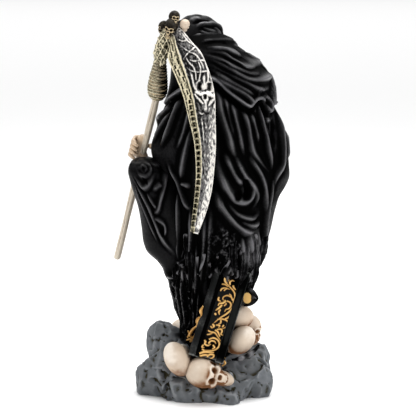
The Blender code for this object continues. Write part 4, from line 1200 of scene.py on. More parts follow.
    def lift(self, arc: Array, height: Array) -> Array:
        """Adds the mantle and the outer robe, as steps, to the folds' height.

        Args:
            arc: Places round the unrolled cloth in mm.
            height: Their heights in mm.

        Returns:
            How far the cloth stands out at each place.
        """
        round_mm = 2 * math.pi * self.ROUND
        seen = self.unroll(through(MANTLE_HEM, 8 * len(MANTLE_HEM)))
        front = np.linspace(-0.93, -0.07, 17)
        arcs = np.concatenate([front * math.pi * self.ROUND, seen[:, 0]])
        dips = self.MANTLE_FRONT + self.MANTLE_DIP * np.sin(front * math.pi * 5)
        tops = np.concatenate([dips, seen[:, 1]])
        order = np.argsort(arcs)
        hem = np.interp(arc, arcs[order], tops[order], period=round_mm)
        turn = arc / round_mm * self.TONGUES
        tongue = np.abs((turn + 0.22 * np.sin(5.3 * turn)) % 1.0 - 0.5) * 2.0
        depth = self.TONGUE_DEPTH * (0.7 + 0.5 * np.sin(2.9 * turn))
        waves = sum(high * np.sin(arc * rate + shift) for high, rate, shift in self.RAGGED_WAVES)
        ragged = self.OUTER_HEM + depth * (tongue - 0.5) + waves
        steps = self.MANTLE_STEP * smooth_step(height, hem - 0.6, hem + 0.6)
        steps = steps + self.OUTER_STEP * smooth_step(height, ragged - 0.8, ragged + 0.8)
        _, reach, depth = self.BOOK_ROOM
        gap = np.hypot((arc - self.room[0]) / reach[0], (height - self.room[1]) / reach[1])
        return super().lift(arc, height) + steps - self.ALLOWANCE - depth * np.exp(-(gap**4))


@dataclass
class Robe:
    """The robe with its mantle, its torn threads and strips, and its swirled edge under the skulls."""

    back_columns: int = 206
    front_columns: int = 104
    rows: int = 292
    strand_count: int = 62
    strip_rows: int = 60
    strip_half: float = 3.2
    strip_thickness: float = 1.2
    form: RobeForm = field(default_factory=RobeForm)

    def build(self) -> None:
        """Makes and dresses the robe and its threads."""
        rings = self.form.rings(self.back_columns, self.front_columns, self.rows)
        robe = loft("black_robe", rings)
        places = mesh_places(robe.data)[0]
        set_share(robe, "frayed", self.form.fraying(places))
        # Painted highlights and painted shade on the robe, from the zones laid out on the back view.
        set_share(robe, "wear_and_painted_light", self.form.painted_light(places))
        dressed(robe, CLOTH, Slot.ROBE, Node.STATUE, (34, 2.2, 90))
        strands = grown("torn_threads", Trees.sweep(), self.strands(), {"Sides": 7}, CLOTH)
        dressed(strands, CLOTH, Slot.ROBE, Node.STATUE, (3, 0.22, -1))
        for number, stations in enumerate(TORN_STRIPS):
            strip = loft(f"torn_strip_{number + 1}", self.strip_rings(np.array(stations, float)))
            places = mesh_places(strip.data)[0]
            set_share(strip, "frayed", np.full(len(places), 0.3))
            # The same painted highlights and painted shade on each torn strip.
            set_share(strip, "wear_and_painted_light", self.form.painted_light(places))
            dressed(strip, CLOTH, Slot.ROBE, Node.STATUE, (12, 0.6, -1))
        rim = grown("swirled_rim", Trees.sweep(), self.rim(), {"Sides": 14}, CLOTH)
        dressed(rim, CLOTH, Slot.ROBE, Node.STATUE, (6, 0.25, -1))

    def strip_rings(self, stations: Array) -> Array:
        """Lays out a torn strip of cloth.

        Args:
            stations: Its middle line, as back-view pixels and depths in mm.

        Returns:
            Its rings, root to tip, in mm.
        """
        table = through(stations, self.strip_rows)
        share = np.linspace(0.0, 1.0, self.strip_rows)
        turn = circle(40)
        sunk = 1.2 + 7.0 * smooth_step(share, 0.45, 0.0) + 2.0 * smooth_step(share, 0.75, 1.0)
        middles = VIEW.spot(table[:, 0], table[:, 1], table[:, 2] - sunk)
        ripple = 1.0 + 0.10 * np.sin(6 * turn[None, :] + 5.0 * share[:, None] + table[0, 0])
        ragged = 1.0 + 0.08 * np.sin(19.0 * share + table[0, 0]) + 0.06 * np.sin(41.0 * share)
        half = (self.strip_half * (1.0 - 0.8 * share**2) * ragged)[:, None] * np.cos(turn) * ripple
        thick = (self.strip_thickness * (1.0 - 0.4 * share))[:, None] * np.sin(turn) * ripple
        return middles[:, None] + np.stack([half, thick, np.zeros_like(half)], axis=-1)

    def rim(self) -> Bars:
        """Lays out the swirled edge of cloth under the skulls.

        Returns:
            Its line with its thickness, in mm.
        """
        table = through(SWIRL, 40)
        line = VIEW.spot(table[:, 0], table[:, 1], table[:, 2])
        return [(line, table[:, 3] * (1.0 + 0.12 * np.sin(np.linspace(0.0, 19.0, 40))))]

    def strands(self) -> Bars:
        """Lays out the hanging threads, from one fixed seed.

        Returns:
            Lines on the cloth with their thickness, in mm.
        """
        draw = np.random.default_rng(5)
        lines = []
        for number in range(self.strand_count):
            theta = -math.pi + 2 * math.pi * (number + draw.uniform(-0.4, 0.4)) / self.strand_count
            top = self.form.OUTER_HEM + draw.uniform(4.0, 26.0)
            run = draw.uniform(14.0, 30.0)
            levels = top - np.linspace(0.0, run, 9)
            sway = draw.uniform(0.015, 0.05)
            angles = theta + sway * np.sin(np.linspace(0.0, draw.uniform(2.0, 4.5), 9) + draw.uniform(0, 6))
            places = self.form.surface(angles, levels, 0.3)
            share = np.linspace(0.0, 1.0, 9)
            lines.append((places, (1.1 - 0.8 * share**2) * draw.uniform(0.7, 1.2)))
        return lines


# Torn strips of the outer robe over the book and the skirt: back-view pixels and depth (mm)
TORN_STRIPS = (
    ((252, 234, 33), (256, 256, 31), (256, 274, 28), (252, 290, 26)),
    ((243, 238, 36), (246, 256, 34), (245, 272, 31), (240, 285, 29)),
    ((231, 230, 38), (233, 248, 36), (234, 264, 34), (236, 278, 32)),
    ((263, 230, 27), (264, 246, 25), (261, 260, 23), (257, 270, 22)),
    ((170, 238, 27), (171, 256, 24), (175, 272, 22), (174, 287, 20)),
    ((188, 234, 38), (189, 256, 35), (191, 274, 30), (189, 292, 24)),
)
# The swirled edge of cloth under the skulls: back-view pixels, depth and thickness (mm)
SWIRL = (
    (259, 345, 27, 0.8), (255, 350, 31, 1.6), (248, 355.5, 35, 1.9), (240, 358.5, 38, 1.8),
    (231, 360, 39, 0.7),
)
# The left sleeve's outline, laid out as the robe's is
SLEEVE_OUTLINE = (
    (156.5, 138, 149, 8, -3), (159, 133, 158, 16, -7), (162, 130.5, 163, 21, -10),
    (168, 128.7, 169, 25, -12), (180, 131, 178, 29, -14), (205, 139, 184, 32, -12),
    (226, 142.5, 186, 32, -10), (240, 144.5, 185, 31, -8), (248, 148, 183, 29, -6),
    (256, 157, 181, 26, -2), (264, 163, 178, 22, 2), (274, 168, 176, 18, 6),
)
# The left sleeve's folds, in the measures of the mantle's
SLEEVE_FOLDS = (
    Ridge(2.6, 2.6, ((132, 177), (140, 190), (148, 205), (155, 222), (160, 235), (167, 246), (177, 256))),
    Ridge(2.2, 2.2, ((133, 180), (139, 195), (146, 212), (153, 230), (158, 242))),
    Ridge(2.4, 2.4, ((134, 176), (141, 185), (145, 188), (150, 183), (155, 171))),
    Ridge(2.4, 2.4, ((163, 160), (165, 172), (164, 185), (161, 198), (158, 210), (153, 214))),
    Ridge(1.5, 2.0, ((135, 163), (141, 159), (148, 162), (151, 169), (147, 176), (140, 175), (136, 169))),
    Ridge(1.0, 1.4, ((139, 167), (143, 164), (147, 168), (144, 172), (140, 171))),
    Ridge(2.0, 1.8, ((149, 156), (154, 154), (159, 158), (155, 163), (150, 161))),
    Ridge(2.2, 2.2, ((150, 218), (158, 220), (164, 225), (165, 232), (162, 237))),
    Ridge(2.0, 2.0, ((146, 192), (154, 205), (157, 207))),
    Ridge(2.0, 2.2, ((152, 190), (158, 186), (163, 184))),
    Ridge(-1.6, 2.0, ((144, 180), (147, 182)), False),
    Ridge(-1.8, 2.0, ((152, 209), (153, 213)), False),
    Ridge(-1.8, 2.0, ((161, 231), (163, 234)), False),
    Ridge(-1.4, 1.6, ((143, 169), (144, 170)), False),
)
# The right sleeve, elbow to mouth and back inside: middle, half width, rise above it and drop below it (mm)
RIGHT_SLEEVE = (
    ((-49, 4, 184), 8, 9, 14), ((-51, -6, 181), 12, 12, 21), ((-50, -16, 181), 13, 12.5, 26),
    ((-44, -27, 183), 13, 12, 30), ((-36, -36, 186), 13, 12, 33), ((-30, -42, 188), 12.5, 12, 35),
    ((-29, -42, 187), 10.5, 9.5, 31), ((-34, -35, 184), 9, 8, 24), ((-38, -30, 182), 5, 5, 12),
)
# The way that the right sleeve's mouth faces
RIGHT_SLEEVE_TOWARD = (0.62, -0.76, 0.18)


@dataclass
class Sleeves:
    """The drape of the left sleeve under the raised fist, and the open bell of the right one."""

    left_columns: int = 110
    left_rows: int = 170
    right_sides: int = 120
    right_rows: int = 110
    crease_depth: float = 0.10

    def build(self) -> None:
        """Makes and dresses both sleeves."""
        form = Drape(SLEEVE_OUTLINE, SLEEVE_FOLDS)
        left = loft("left_sleeve", form.rings(self.left_columns, self.left_columns // 2, self.left_rows))
        dressed(left, CLOTH, Slot.ROBE, Node.STATUE, (30, 1.9, 80))
        dressed(loft("right_sleeve", self.bell()), CLOTH, Slot.ROBE, Node.STATUE, (24, 1.4, 60))

    def bell(self) -> Array:
        """Lays out the right sleeve as an open bell.

        Returns:
            Its rings, elbow to mouth and back inside, in mm.
        """
        toward = unit(RIGHT_SLEEVE_TOWARD)
        side = unit(np.cross(toward, (0, 0, 1)))
        turn = circle(self.right_sides)
        table = through([(*middle, *sizes) for middle, *sizes in RIGHT_SLEEVE], self.right_rows)
        rings = []
        for row, (x, y, z, half, rise, drop) in enumerate(table):
            lift = np.sin(turn) * np.where(np.sin(turn) > 0, rise, drop)
            low = 0.3 + 0.7 * np.maximum(0.0, -np.sin(turn))
            wave = np.abs(np.sin(4.5 * turn + 0.5 * math.sin(row / 23))) ** 0.7 - 0.55
            ripple = 0.25 * np.sin(17 * turn + row / 9)
            crease = 1.0 + self.crease_depth * (wave + ripple) * low
            level = (lift * (0.75 + 0.25 * crease))[:, None] * (0.0, 0.0, 1.0)
            rings.append(np.array((x, y, z)) + side * (half * np.cos(turn) * crease)[:, None] + level)
        return np.array(rings)


# The head's middle (mm) and the way that it looks
HEAD = (8.0, -12.0, 262.0)
LOOK = (0.30, -0.93, -0.16)
# The hood from inside its opening, over the brow, to the back: place along the look and radius (mm)
HOOD_PROFILE = (
    (1, 2), (2, 9), (7, 13.5), (13, 15.5), (18, 17.0), (21, 18.5),
    (18, 20.2), (11, 21.8), (3, 22.6), (-6, 21.8), (-14, 19.0), (-20, 14.0), (-24, 7.0), (-25, 1.5),
)
# Folds of the hood: degrees round it at the brow from its right side, slant and height (mm)
HOOD_FOLDS = ((150, 0.9, 2.2), (118, 0.8, 1.6), (60, -0.6, 1.6), (22, -0.9, 2.0), (-20, -0.5, 1.5))
# The hood's two overlapping domes and their wrinkles, in back-view pixels
HOOD_RELIEF = (
    Ridge(2.0, 3.4, ((196, 29), (200, 25), (207, 23.5), (214, 24.5), (220, 28), (224, 34))),
    Ridge(-1.6, 2.0, ((192, 24), (199, 21.5), (206, 21.5), (211, 23))),
    Ridge(1.2, 1.8, ((201, 27), (206, 29.5), (213, 31), (219, 34))),
    Ridge(1.1, 1.7, ((199, 31), (205, 33), (213, 35.5))),
    Ridge(1.4, 2.0, ((212, 27), (217, 30.5), (221, 36))),
    Ridge(1.2, 2.4, ((189, 22), (195, 18.5), (202, 19.5))),
    Ridge(-1.6, 1.6, ((198, 37.5), (208, 37), (218, 37.5), (226, 37))),
)


@dataclass
class Hood:
    """The hood round the hidden skull face, and the rolled cowl below it."""

    sides: int = 200
    rows: int = 150
    fold_width: float = 0.24
    cowl_steps: int = 260
    cowl_sides: int = 44
    cowl_ring: Point = (21.0, 20.0)
    cowl_middle: Point = (4.0, -3.0, 259.5)
    cowl_roll: Point = (5.6, 5.2)
    face_length: float = 26.0
    face_ahead: float = 6.0

    def build(self) -> None:
        """Makes and dresses the hood, the cowl and the face."""
        hood = loft("hood", self.hood_rings())
        carve_back(hood, HOOD_RELIEF)
        dressed(hood, CLOTH, Slot.ROBE, Node.STATUE, (30, 1.6, 80))
        dressed(loft("cowl", self.cowl_rings(), looped=True), CLOTH, Slot.ROBE, Node.STATUE, (24, 1.4, 60))
        middle = np.array(HEAD) + unit(LOOK) * self.face_ahead
        face = SKULL.piece("face_skull", middle, LOOK, (-0.05, -0.12, 1.0), self.face_length, 6)
        dressed(face, BONE, Slot.BONE, Node.STATUE, (10, 0.5))

    def hood_rings(self) -> Array:
        """Lays out the hood.

        Returns:
            Its rings from the face's recess, over the brow, to the back, in mm.
        """
        look = unit(LOOK)
        side = unit(np.cross(look, (0, 0, 1)))
        up = np.cross(side, look)
        turn = circle(self.sides)
        rings = []
        for along, radius in through(HOOD_PROFILE, self.rows):
            push = along + 3.0 * np.maximum(0.0, np.sin(turn)) * smooth_step(along, -4, 18)
            spread = radius * (1.0 + 0.04 * np.sin(turn))
            keep = smooth_step(radius, 17.5, 21)
            for degrees, slant, height in HOOD_FOLDS:
                aim = math.radians(degrees) + slant * (18 - along) / 40
                gap = np.abs((turn - aim + math.pi) % (2 * math.pi) - math.pi)
                spread = spread + keep * height * np.clip(1.0 - gap / self.fold_width, 0.0, 1.0) ** 1.5
            wrinkle = 0.35 * np.sin(9 * turn + along / 3.1) * np.sin(along / 4.7 + 2 * turn)
            spread = spread + keep * wrinkle
            rings.append(
                np.array(HEAD) + look * push[:, None] + side * (spread * 0.90 * np.cos(turn))[:, None]
                + up * (spread * np.sin(turn))[:, None]
            )
        return np.array(rings)

    def cowl_rings(self) -> Array:
        """Lays out the rolled cowl round the neck.

        Returns:
            Its rings, once round, in mm.
        """
        bend = circle(self.cowl_sides)
        rings = []
        for turn in circle(self.cowl_steps):
            away = np.array([math.cos(turn), math.sin(turn), 0.0])
            x, y, z = self.cowl_middle
            tilt = -2.0 * math.cos(turn)
            middle = np.array([x, y, z + tilt]) + away * (self.cowl_ring[0], self.cowl_ring[1], 0.0)
            twist = 0.07 * np.sin(3 * bend + 5 * turn) + 0.05 * np.sin(5 * bend - 9 * turn)
            swell = 1.0 + twist + 0.05 * math.sin(7 * turn)
            out = (self.cowl_roll[0] * np.cos(bend) * swell)[:, None] * away
            rings.append(middle + out + (self.cowl_roll[1] * np.sin(bend) * swell)[:, None] * (0, 0, 1.0))
        return np.array(rings)


@dataclass(frozen=True)
class SkullForm:
    """A skull 1 long, whose face looks along +X and crown along +Z, as masses round its middle.

    Each mass is a middle and radii. Each hollow is a direction, spread and depth, and is there on both sides:
    eye, half of the nose, temple, cheek below the cheekbone, and corner of the mouth.
    """

    masses: tuple = (
        ((-0.10, 0.0, 0.14), (0.50, 0.39, 0.43)),
        ((0.14, 0.0, 0.08), (0.30, 0.30, 0.15)),
        ((0.09, 0.12, -0.09), (0.27, 0.21, 0.15)),
        ((0.09, -0.12, -0.09), (0.27, 0.21, 0.15)),
        ((0.14, 0.0, -0.20), (0.29, 0.18, 0.28)),
        ((0.10, 0.0, -0.30), (0.27, 0.20, 0.36)),
    )
    hollows: tuple = (
        ((0.40, 0.17, 0.00), 0.22, 0.21),
        ((0.42, 0.025, -0.17), 0.10, 0.10),
        ((0.20, 0.34, 0.04), 0.22, 0.05),
        ((0.18, 0.22, -0.34), 0.22, 0.06),
        ((0.34, 0.13, -0.30), 0.10, 0.02),
    )
    mouth_tilt: float = -0.80
    teeth_height: float = 0.10
    teeth_count: float = 15.0

    def radius(self, directions: Array) -> Array:
        """Finds how far out the skull's surface is.

        Args:
            directions: Directions of length 1, one on each row.

        Returns:
            The surface's distance from the middle in each direction.
        """
        far = np.zeros(len(directions))
        for centre, radii in self.masses:
            ray = directions / np.asarray(radii)
            start = -np.asarray(centre) / np.asarray(radii)
            a = (ray**2).sum(axis=1)
            b = ray @ start
            inside = b**2 - a * (start @ start - 1.0)
            far = np.maximum(far, np.where(inside > 0, (-b + np.sqrt(np.maximum(inside, 0.0))) / a, 0.0))
        for toward, spread, depth in self.hollows:
            for side in (1.0, -1.0):
                gap = np.linalg.norm(directions * (1.0, side, 1.0) - unit(toward), axis=1)
                far = far - depth * np.exp(-((gap / spread) ** 4))
        return far + self.teeth(directions)

    def teeth(self, directions: Array) -> Array:
        """Finds the relief of the two rows of teeth and the slit between them.

        Args:
            directions: Directions of length 1, one on each row.

        Returns:
            How far the teeth stand out in each direction.
        """
        turn = np.arctan2(directions[:, 1], directions[:, 0])
        tilt = np.arcsin(np.clip(directions[:, 2], -1, 1)) - self.mouth_tilt
        ahead = smooth_step(np.abs(turn), 0.95, 0.65)
        band = smooth_step(np.abs(tilt), self.teeth_height * 1.25, self.teeth_height * 0.85)
        slit = np.exp(-((tilt / 0.028) ** 2))
        rows = np.abs(np.cos(turn * self.teeth_count)) ** 0.5
        return ahead * (band * (0.026 * rows - 0.004) - 0.030 * slit)

    def piece(self, name: str, place: Any, facing: Any, crown: Any, length: float, fineness: int,
              breadth: float = 1.0) -> Piece:
        """Makes a skull.

        Args:
            name: The piece's name.
            place: Its middle in mm.
            facing: Where its face looks.
            crown: Where its crown points.
            length: Its length in mm.
            fineness: How often its ball is divided.
            breadth: How broad it is for its length.

        Returns:
            The skull's object.
        """
        ball = bmesh.new()
        bmesh.ops.create_icosphere(ball, subdivisions=fineness, radius=1.0)
        directions = unit(np.array([vert.co for vert in ball.verts]))
        faces = [[vert.index for vert in face.verts] for face in ball.faces]
        ball.free()
        forward = unit(facing)
        side = unit(np.cross(crown, forward))
        axes = np.array([forward, side * breadth, np.cross(forward, side)])
        points = (directions * self.radius(directions)[:, None] * length) @ axes + np.asarray(place)
        return new_piece(name, points, faces)


SKULL = SkullForm()
# The heaped skulls: shares of the base's half width and depth, height (mm), facing, crown, size, breadth
SKULL_HEAP = (
    ((0.445, 0.64), 31.5, (-0.50, -0.25, -0.83), (0.15, 0.93, -0.30), 1.14, 0.80),
    ((-0.01, 0.80), 21.5, (-0.34, 0.92, 0.16), (0.90, 0.26, 0.34), 1.20, 1.0),
    ((-0.53, 0.28), 57, (-0.75, -0.55, -0.25), (-0.1, 0.45, 0.85), 0.86, 0.94),
    ((-0.49, 0.46), 42, (0.66, 0.30, -0.68), (-0.45, 0.72, 0.52), 0.96, 1.0),
    ((-0.70, 0.08), 48, (-0.88, 0.46, -0.1), (-0.1, 0.1, 0.95), 0.80, 0.9),
    ((0.44, -0.80), 32, (0.25, -0.95, 0.0), (0.1, 0.1, 1.0), 1.0, 1.0),
    ((-0.06, -0.86), 27, (-0.15, -0.95, 0.1), (-0.25, 0.1, 0.95), 1.05, 1.0),
    ((-0.58, -0.66), 36, (-0.60, -0.75, 0.0), (0.2, 0.1, 1.0), 1.0, 1.0),
    ((0.16, -0.76), 48, (0.10, -0.90, -0.2), (-0.3, 0.0, 1.0), 0.9, 1.0),
)
# The boulders: middle as shares of the base's half width and depth, its height and the radii (mm)
BOULDERS = (
    ((0.82, 0.17), 12, (17, 22, 18)),
    ((0.70, -0.32), 33, (16, 18, 16)),
    ((-0.66, 0.26), 13, (18, 22, 20)),
    ((-0.78, -0.16), 26, (11, 15, 14)),
    ((0.42, -0.66), 12, (24, 16, 16)),
    ((-0.48, -0.62), 14, (20, 18, 17)),
    ((0.02, -0.08), 17, (41, 35, 22)),
    ((-0.36, 0.55), 11, (21, 17, 17)),
    ((0.42, 0.48), 9, (22, 18, 14)),
    ((0.05, 0.62), 7, (26, 15, 11)),
    ((0.62, 0.02), 24, (17, 18, 15)),
    ((-0.55, -0.02), 24, (18, 18, 15)),
)
# The base's outline in shares of its half width and depth
BASE_CORNERS = (
    (0.95, 0.0), (0.80, 0.40), (0.50, 0.66), (0.10, 0.84), (-0.32, 1.02), (-0.50, 0.99), (-0.66, 0.76),
    (-0.92, 0.22), (-0.98, -0.30), (-0.74, -0.78), (-0.12, -1.0), (0.45, -0.92), (0.90, -0.48),
)
# Pits and clefts that show on the rock: back-view pixel, radius in pixels and depth (mm)
ROCK_PITS = (
    ((151, 341), 2.6, 1.6), ((159, 342), 1.8, 1.2), ((143, 363), 2.4, 1.4), ((154, 365), 1.8, 1.2),
    ((156, 377), 2.8, 1.8), ((186, 392), 2.6, 1.6), ((224, 396), 2.0, 1.2), ((246, 366), 2.0, 1.2),
)


@dataclass
class Rock:
    """The boulders under the feet, run together and weathered, with the skulls heaped on them.

    Cuts and chips are how many faces are chiselled, their reach and their depth in mm.
    """

    half_width: float = 47.0
    half_depth: float = 46.0
    slab: float = 13.0
    grain: float = 11.0
    unevenness: float = 0.13
    cell: float = 0.85
    cuts: tuple[int, float, float] = (150, 17.0, 0.7)
    chips: tuple[int, float, float] = (170, 8.0, 0.10)
    easing: int = 12
    worn_smooth: int = 2
    skull_length: float = 24.5

    def build(self) -> None:
        """Makes and dresses the rock and every skull."""
        dressed(self.weathered(self.lumps()), STONE, Slot.STONE, Node.STATUE, (22, 1.0, 40))
        for number, (share, height, facing, crown, size, breadth) in enumerate(SKULL_HEAP):
            place = (share[0] * self.half_width, share[1] * self.half_depth, height)
            fineness = 7 if number < 2 else 6
            name = f"heap_skull_{number + 1}"
            skull = SKULL.piece(name, place, facing, crown, self.skull_length * size, fineness, breadth)
            places = mesh_places(skull.data)[0]
            around = (places - place) / (self.skull_length * size)
            ahead, rise = around @ unit(facing), around @ unit(crown)
            # stain is the face's own brown; low is painted shade that darkens the lower part of each skull,
            # where it sits down among the others.
            stain = 0.32 * smooth_step(ahead, 0.0, 0.26) * smooth_step(rise, 0.34, 0.0)
            low = 0.44 * smooth_step(places[:, 2], height + 4.0, height - 13.0)
            set_share(skull, "wear_and_painted_light", 0.02 - stain - low)
            dressed(skull, BONE, Slot.BONE, Node.STATUE, (90 if fineness == 7 else 24, 0.48, -1))

    def lumps(self) -> Piece:
        """Heaps the slab and the boulders up.

        Returns:
            One object of them all, whose lumps still run through each other.
        """
        whole = bmesh.new()
        corners = np.array([(x * self.half_width, y * self.half_depth) for x, y in BASE_CORNERS])
        corners = through(np.vstack([corners, corners[:1]]), 66)[:-1]
        rings = [
            np.column_stack([corners * spread, np.full(len(corners), self.slab * level)])
            for level, spread in ((0.0, 0.97), (0.35, 1.0), (0.75, 0.96), (1.0, 0.84))
        ]
        slab = loft("slab", np.array(rings))
        whole.from_mesh(slab.data)
        bpy.data.objects.remove(slab)
        for (across, deep), height, radii in BOULDERS:
            ball = bmesh.ops.create_icosphere(whole, subdivisions=5, radius=1.0)["verts"]
            middle = Vector((across * self.half_width, deep * self.half_depth, height))
            for vert in ball:
                corner = [math.copysign(abs(c) ** 0.85, c) for c in vert.co]
                spot = Vector([c * r / self.grain for c, r in zip(vert.co, radii)]) + Vector(radii)
                swell = 1.0 + self.unevenness * (noise.noise(spot) + 0.5 * noise.noise(spot * 2.3))
                vert.co = (Vector([c * r * swell for c, r in zip(corner, radii)]) + middle) * MM
        mesh = bpy.data.meshes.new("rock_base")
        whole.to_mesh(mesh)
        whole.free()
        return linked("rock_base", mesh)

    def weathered(self, piece: Piece) -> Piece:
        """Runs the lumps together and weathers their surface.

        Args:
            piece: The slab and boulders.

        Returns:
            The same object with one closed, pitted mesh.
        """
        remesh = piece.modifiers.new("run_together", "REMESH")
        remesh.mode = "VOXEL"
        remesh.voxel_size = self.cell * MM
        ease = piece.modifiers.new("ease", "SMOOTH")
        ease.factor = 0.5
        ease.iterations = self.easing
        settle(piece)
        mesh = piece.data
        places, normals = mesh_places(mesh)
        places = self.chiselled(places, normals, *self.cuts)
        eased = neighbour_mean(mesh)
        places = np.stack([eased(places[:, k], self.worn_smooth) for k in range(3)], axis=1)
        places = self.chiselled(places, normals, *self.chips)
        broad = fractal(places, 9.0, 3)
        fine = fractal(places, 2.6, 3, 2.0)
        pits = smooth_step(fractal(places, 3.6, 2, 4.0), 0.36, 0.60) * smooth_step(broad, -0.35, -0.05)
        rise = 0.34 * broad + 0.24 * fine - 1.5 * pits
        seen = VIEW.pixel(places)
        for pixel, radius, depth in ROCK_PITS:
            gap = np.linalg.norm((seen - pixel) / (1.0, 1.3), axis=1) / radius
            rise = rise - depth * np.exp(-(gap**2)) * (normals[:, 1] > 0.15)
        places += normals * rise[:, None]
        places[:, 2] = np.maximum(places[:, 2], 0.0)
        move_points(piece, places)
        mesh.shade_smooth()
        return piece

    def chiselled(self, places: Array, normals: Array, cuts: int, reach: float, depth: float) -> Array:
        """Cuts flat faces into the bulges of the rock.

        Args:
            places: The rock's points in mm.
            normals: The normals at them.
            cuts: How many faces are cut.
            reach: How far each face reaches in mm.
            depth: How deep each face is cut in mm.

        Returns:
            The points after the cuts.
        """
        draw = np.random.default_rng(23)
        places = places.copy()
        for index in draw.integers(0, len(places), cuts):
            if normals[index, 2] < -0.2:
                continue
            aim = unit(normals[index] + draw.normal(0.0, 0.16, 3))
            gap = places - places[index]
            near = np.flatnonzero(((gap**2).sum(axis=1) < reach**2) & (normals @ aim > 0.5))
            proud = np.clip(gap[near] @ aim + depth, 0.0, None)
            keep = smooth_step(np.linalg.norm(gap[near], axis=1), reach, 0.7 * reach)
            keep = keep * smooth_step(normals[near] @ aim, 0.5, 0.75)
            places[near] -= aim * (proud * keep)[:, None]
        return places


# The gilt vine on the book's spine: thickness, then the back-view pixels of each stem or leaf
VINE = (
    (1.2, ((226, 283), (230, 287), (234, 292), (235, 297), (233, 300), (231, 297), (227, 295.5), (223.5, 297),
           (223, 299.5), (225, 300.5))),
    (1.7, ((226, 277), (225, 280), (226.5, 284))), (1.4, ((229.5, 277), (228.5, 280), (227, 283))),
    (1.2, ((230, 285), (230, 282), (232.5, 280.5), (234.5, 281.5))),
    (1.3, ((233, 285.5), (234, 288), (236, 290))), (1.1, ((222, 284), (225, 284.5), (228.5, 287))),
    (1.2, ((220.5, 291), (222, 288.7), (225.5, 288), (230, 289.5))),
    (1.0, ((224, 291), (225.5, 289.2), (227.5, 289))), (1.0, ((229, 294), (231, 295.5), (232, 298))),
    (1.3, ((233.5, 299), (233.5, 304), (231.5, 309), (227, 313.5), (221.5, 317), (217.5, 320), (214, 323))),
    (1.2, ((227, 301), (230, 302.5), (231, 305.5), (229, 308.5), (226, 309.5), (224.5, 312))),
    (1.5, ((226, 300.5), (223, 303), (219.5, 303.5), (218, 306))),
    (1.3, ((219, 297), (218.5, 300), (221, 301.5))),
    (1.5, ((222, 305), (219, 308), (215.5, 310.5))), (1.3, ((220.5, 309.5), (219, 312), (219.5, 315))),
    (1.5, ((215, 313), (216, 315.5))), (1.1, ((224, 306), (226, 304), (225, 302))),
    (1.2, ((217.5, 319.5), (222, 319), (226.5, 320.5), (228, 323.5), (226, 327), (222, 329))),
    (1.2, ((221, 320), (220.5, 323), (218, 324))), (1.2, ((216, 325), (219.5, 325.5), (218.5, 328))),
    (1.2, ((225, 319), (228, 317.5), (229.5, 315.5))), (1.4, ((212.5, 324), (214, 326), (212.5, 328))),
    (1.2, ((224, 325), (222, 327.5))), (1.2, ((210.5, 326), (212.5, 328.5))),
    (1.2, ((208, 330.5), (211, 332), (215, 333), (218, 337), (220.5, 341))),
    (1.1, ((207, 334.5), (210.5, 334), (213, 332.5))),
    (1.4, ((215, 330), (217.5, 331.5), (219, 334.5), (220, 337))),
    (1.3, ((217, 329.5), (221, 329.3), (222, 331.5), (221, 334), (223, 335.5))),
    (1.3, ((209, 339.5), (213, 338), (217, 339.5), (219.3, 343), (218.5, 347), (214.5, 350), (209, 350.5),
           (204, 350))),
    (1.3, ((208.5, 343.5), (211, 341), (214.5, 341.5), (216, 344))),
    (1.3, ((206, 341), (205, 344), (208, 345.5), (211, 344))),
    (1.3, ((204.5, 340), (206, 342.5))), (1.2, ((203.5, 344.5), (202, 347), (204.5, 347.5))),
    (1.2, ((213, 345), (214.5, 347.5), (212, 349))), (1.3, ((202, 349), (205, 351))),
    (1.7, ((199.5, 353.5), (204, 352), (209, 352), (214, 352.5))),
    (1.5, ((200, 356), (205, 355), (210, 355.5))),
    (1.4, ((207, 357), (210, 354.5), (213.5, 355), (213, 357.5), (210, 358.5))),
)
# Gilt scrollwork left of the book: back-view pixel, depth and thickness (mm) along each bar
GILT_SCROLLS = (
    ((203, 306, 30.5, 0.5), (200.8, 311, 30.5, 1.1), (201.5, 316, 30.5, 0.8), (198.5, 321, 30, 1.1),
     (197, 327, 30, 0.6)),
    ((199.5, 317, 30, 0.5), (197, 319.5, 29.5, 0.8), (196.5, 323, 29, 0.5)),
    ((196.5, 326, 29, 0.6), (192.5, 330, 24, 1.1), (190, 335, 22, 1.0), (193, 338.5, 22, 0.9),
     (190, 342, 21, 0.5)),
    ((188, 330.5, 21, 0.5), (189.5, 334, 21, 0.9), (187.5, 337.5, 21, 0.6)),
    ((195.5, 333, 24, 0.5), (194.5, 337, 23, 0.9), (196, 341.5, 23, 0.6)),
    ((186.5, 340, 21, 0.5), (190.5, 339.5, 21.5, 0.9), (194, 343.5, 22, 0.6)),
    ((225, 357.5, 36, 0.5), (222.5, 360, 36, 1.0), (225, 363, 36, 0.9), (222, 366, 36, 0.5)),
    ((219, 359, 37, 0.5), (221.5, 361.5, 37, 0.9), (219.5, 364.5, 37, 0.5)),
)
# The gilt disc at the book's right, and the fold of cloth round it, in the same measures
GILT_DISC = (
    ((247.2, 296.6, 14, 2.9), (247.2, 296.6, 26.4, 2.9)),
    ((247.2, 299.6, 14, 2.9), (247.2, 299.6, 26.4, 2.9)),
)
CUPPED_FOLD = (
    ((246, 289, 20, 1.0), (251, 290.5, 24, 1.7), (255, 294.5, 25.5, 1.4), (257.5, 298.5, 25.5, 0.8),
     (254, 301.5, 25, 1.6), (249.5, 304.5, 24, 1.3), (244, 305.5, 20, 0.7)),
    ((250, 291, 20, 1.8), (253.5, 297.5, 21, 2.9), (250.5, 303, 20, 1.6)),
)


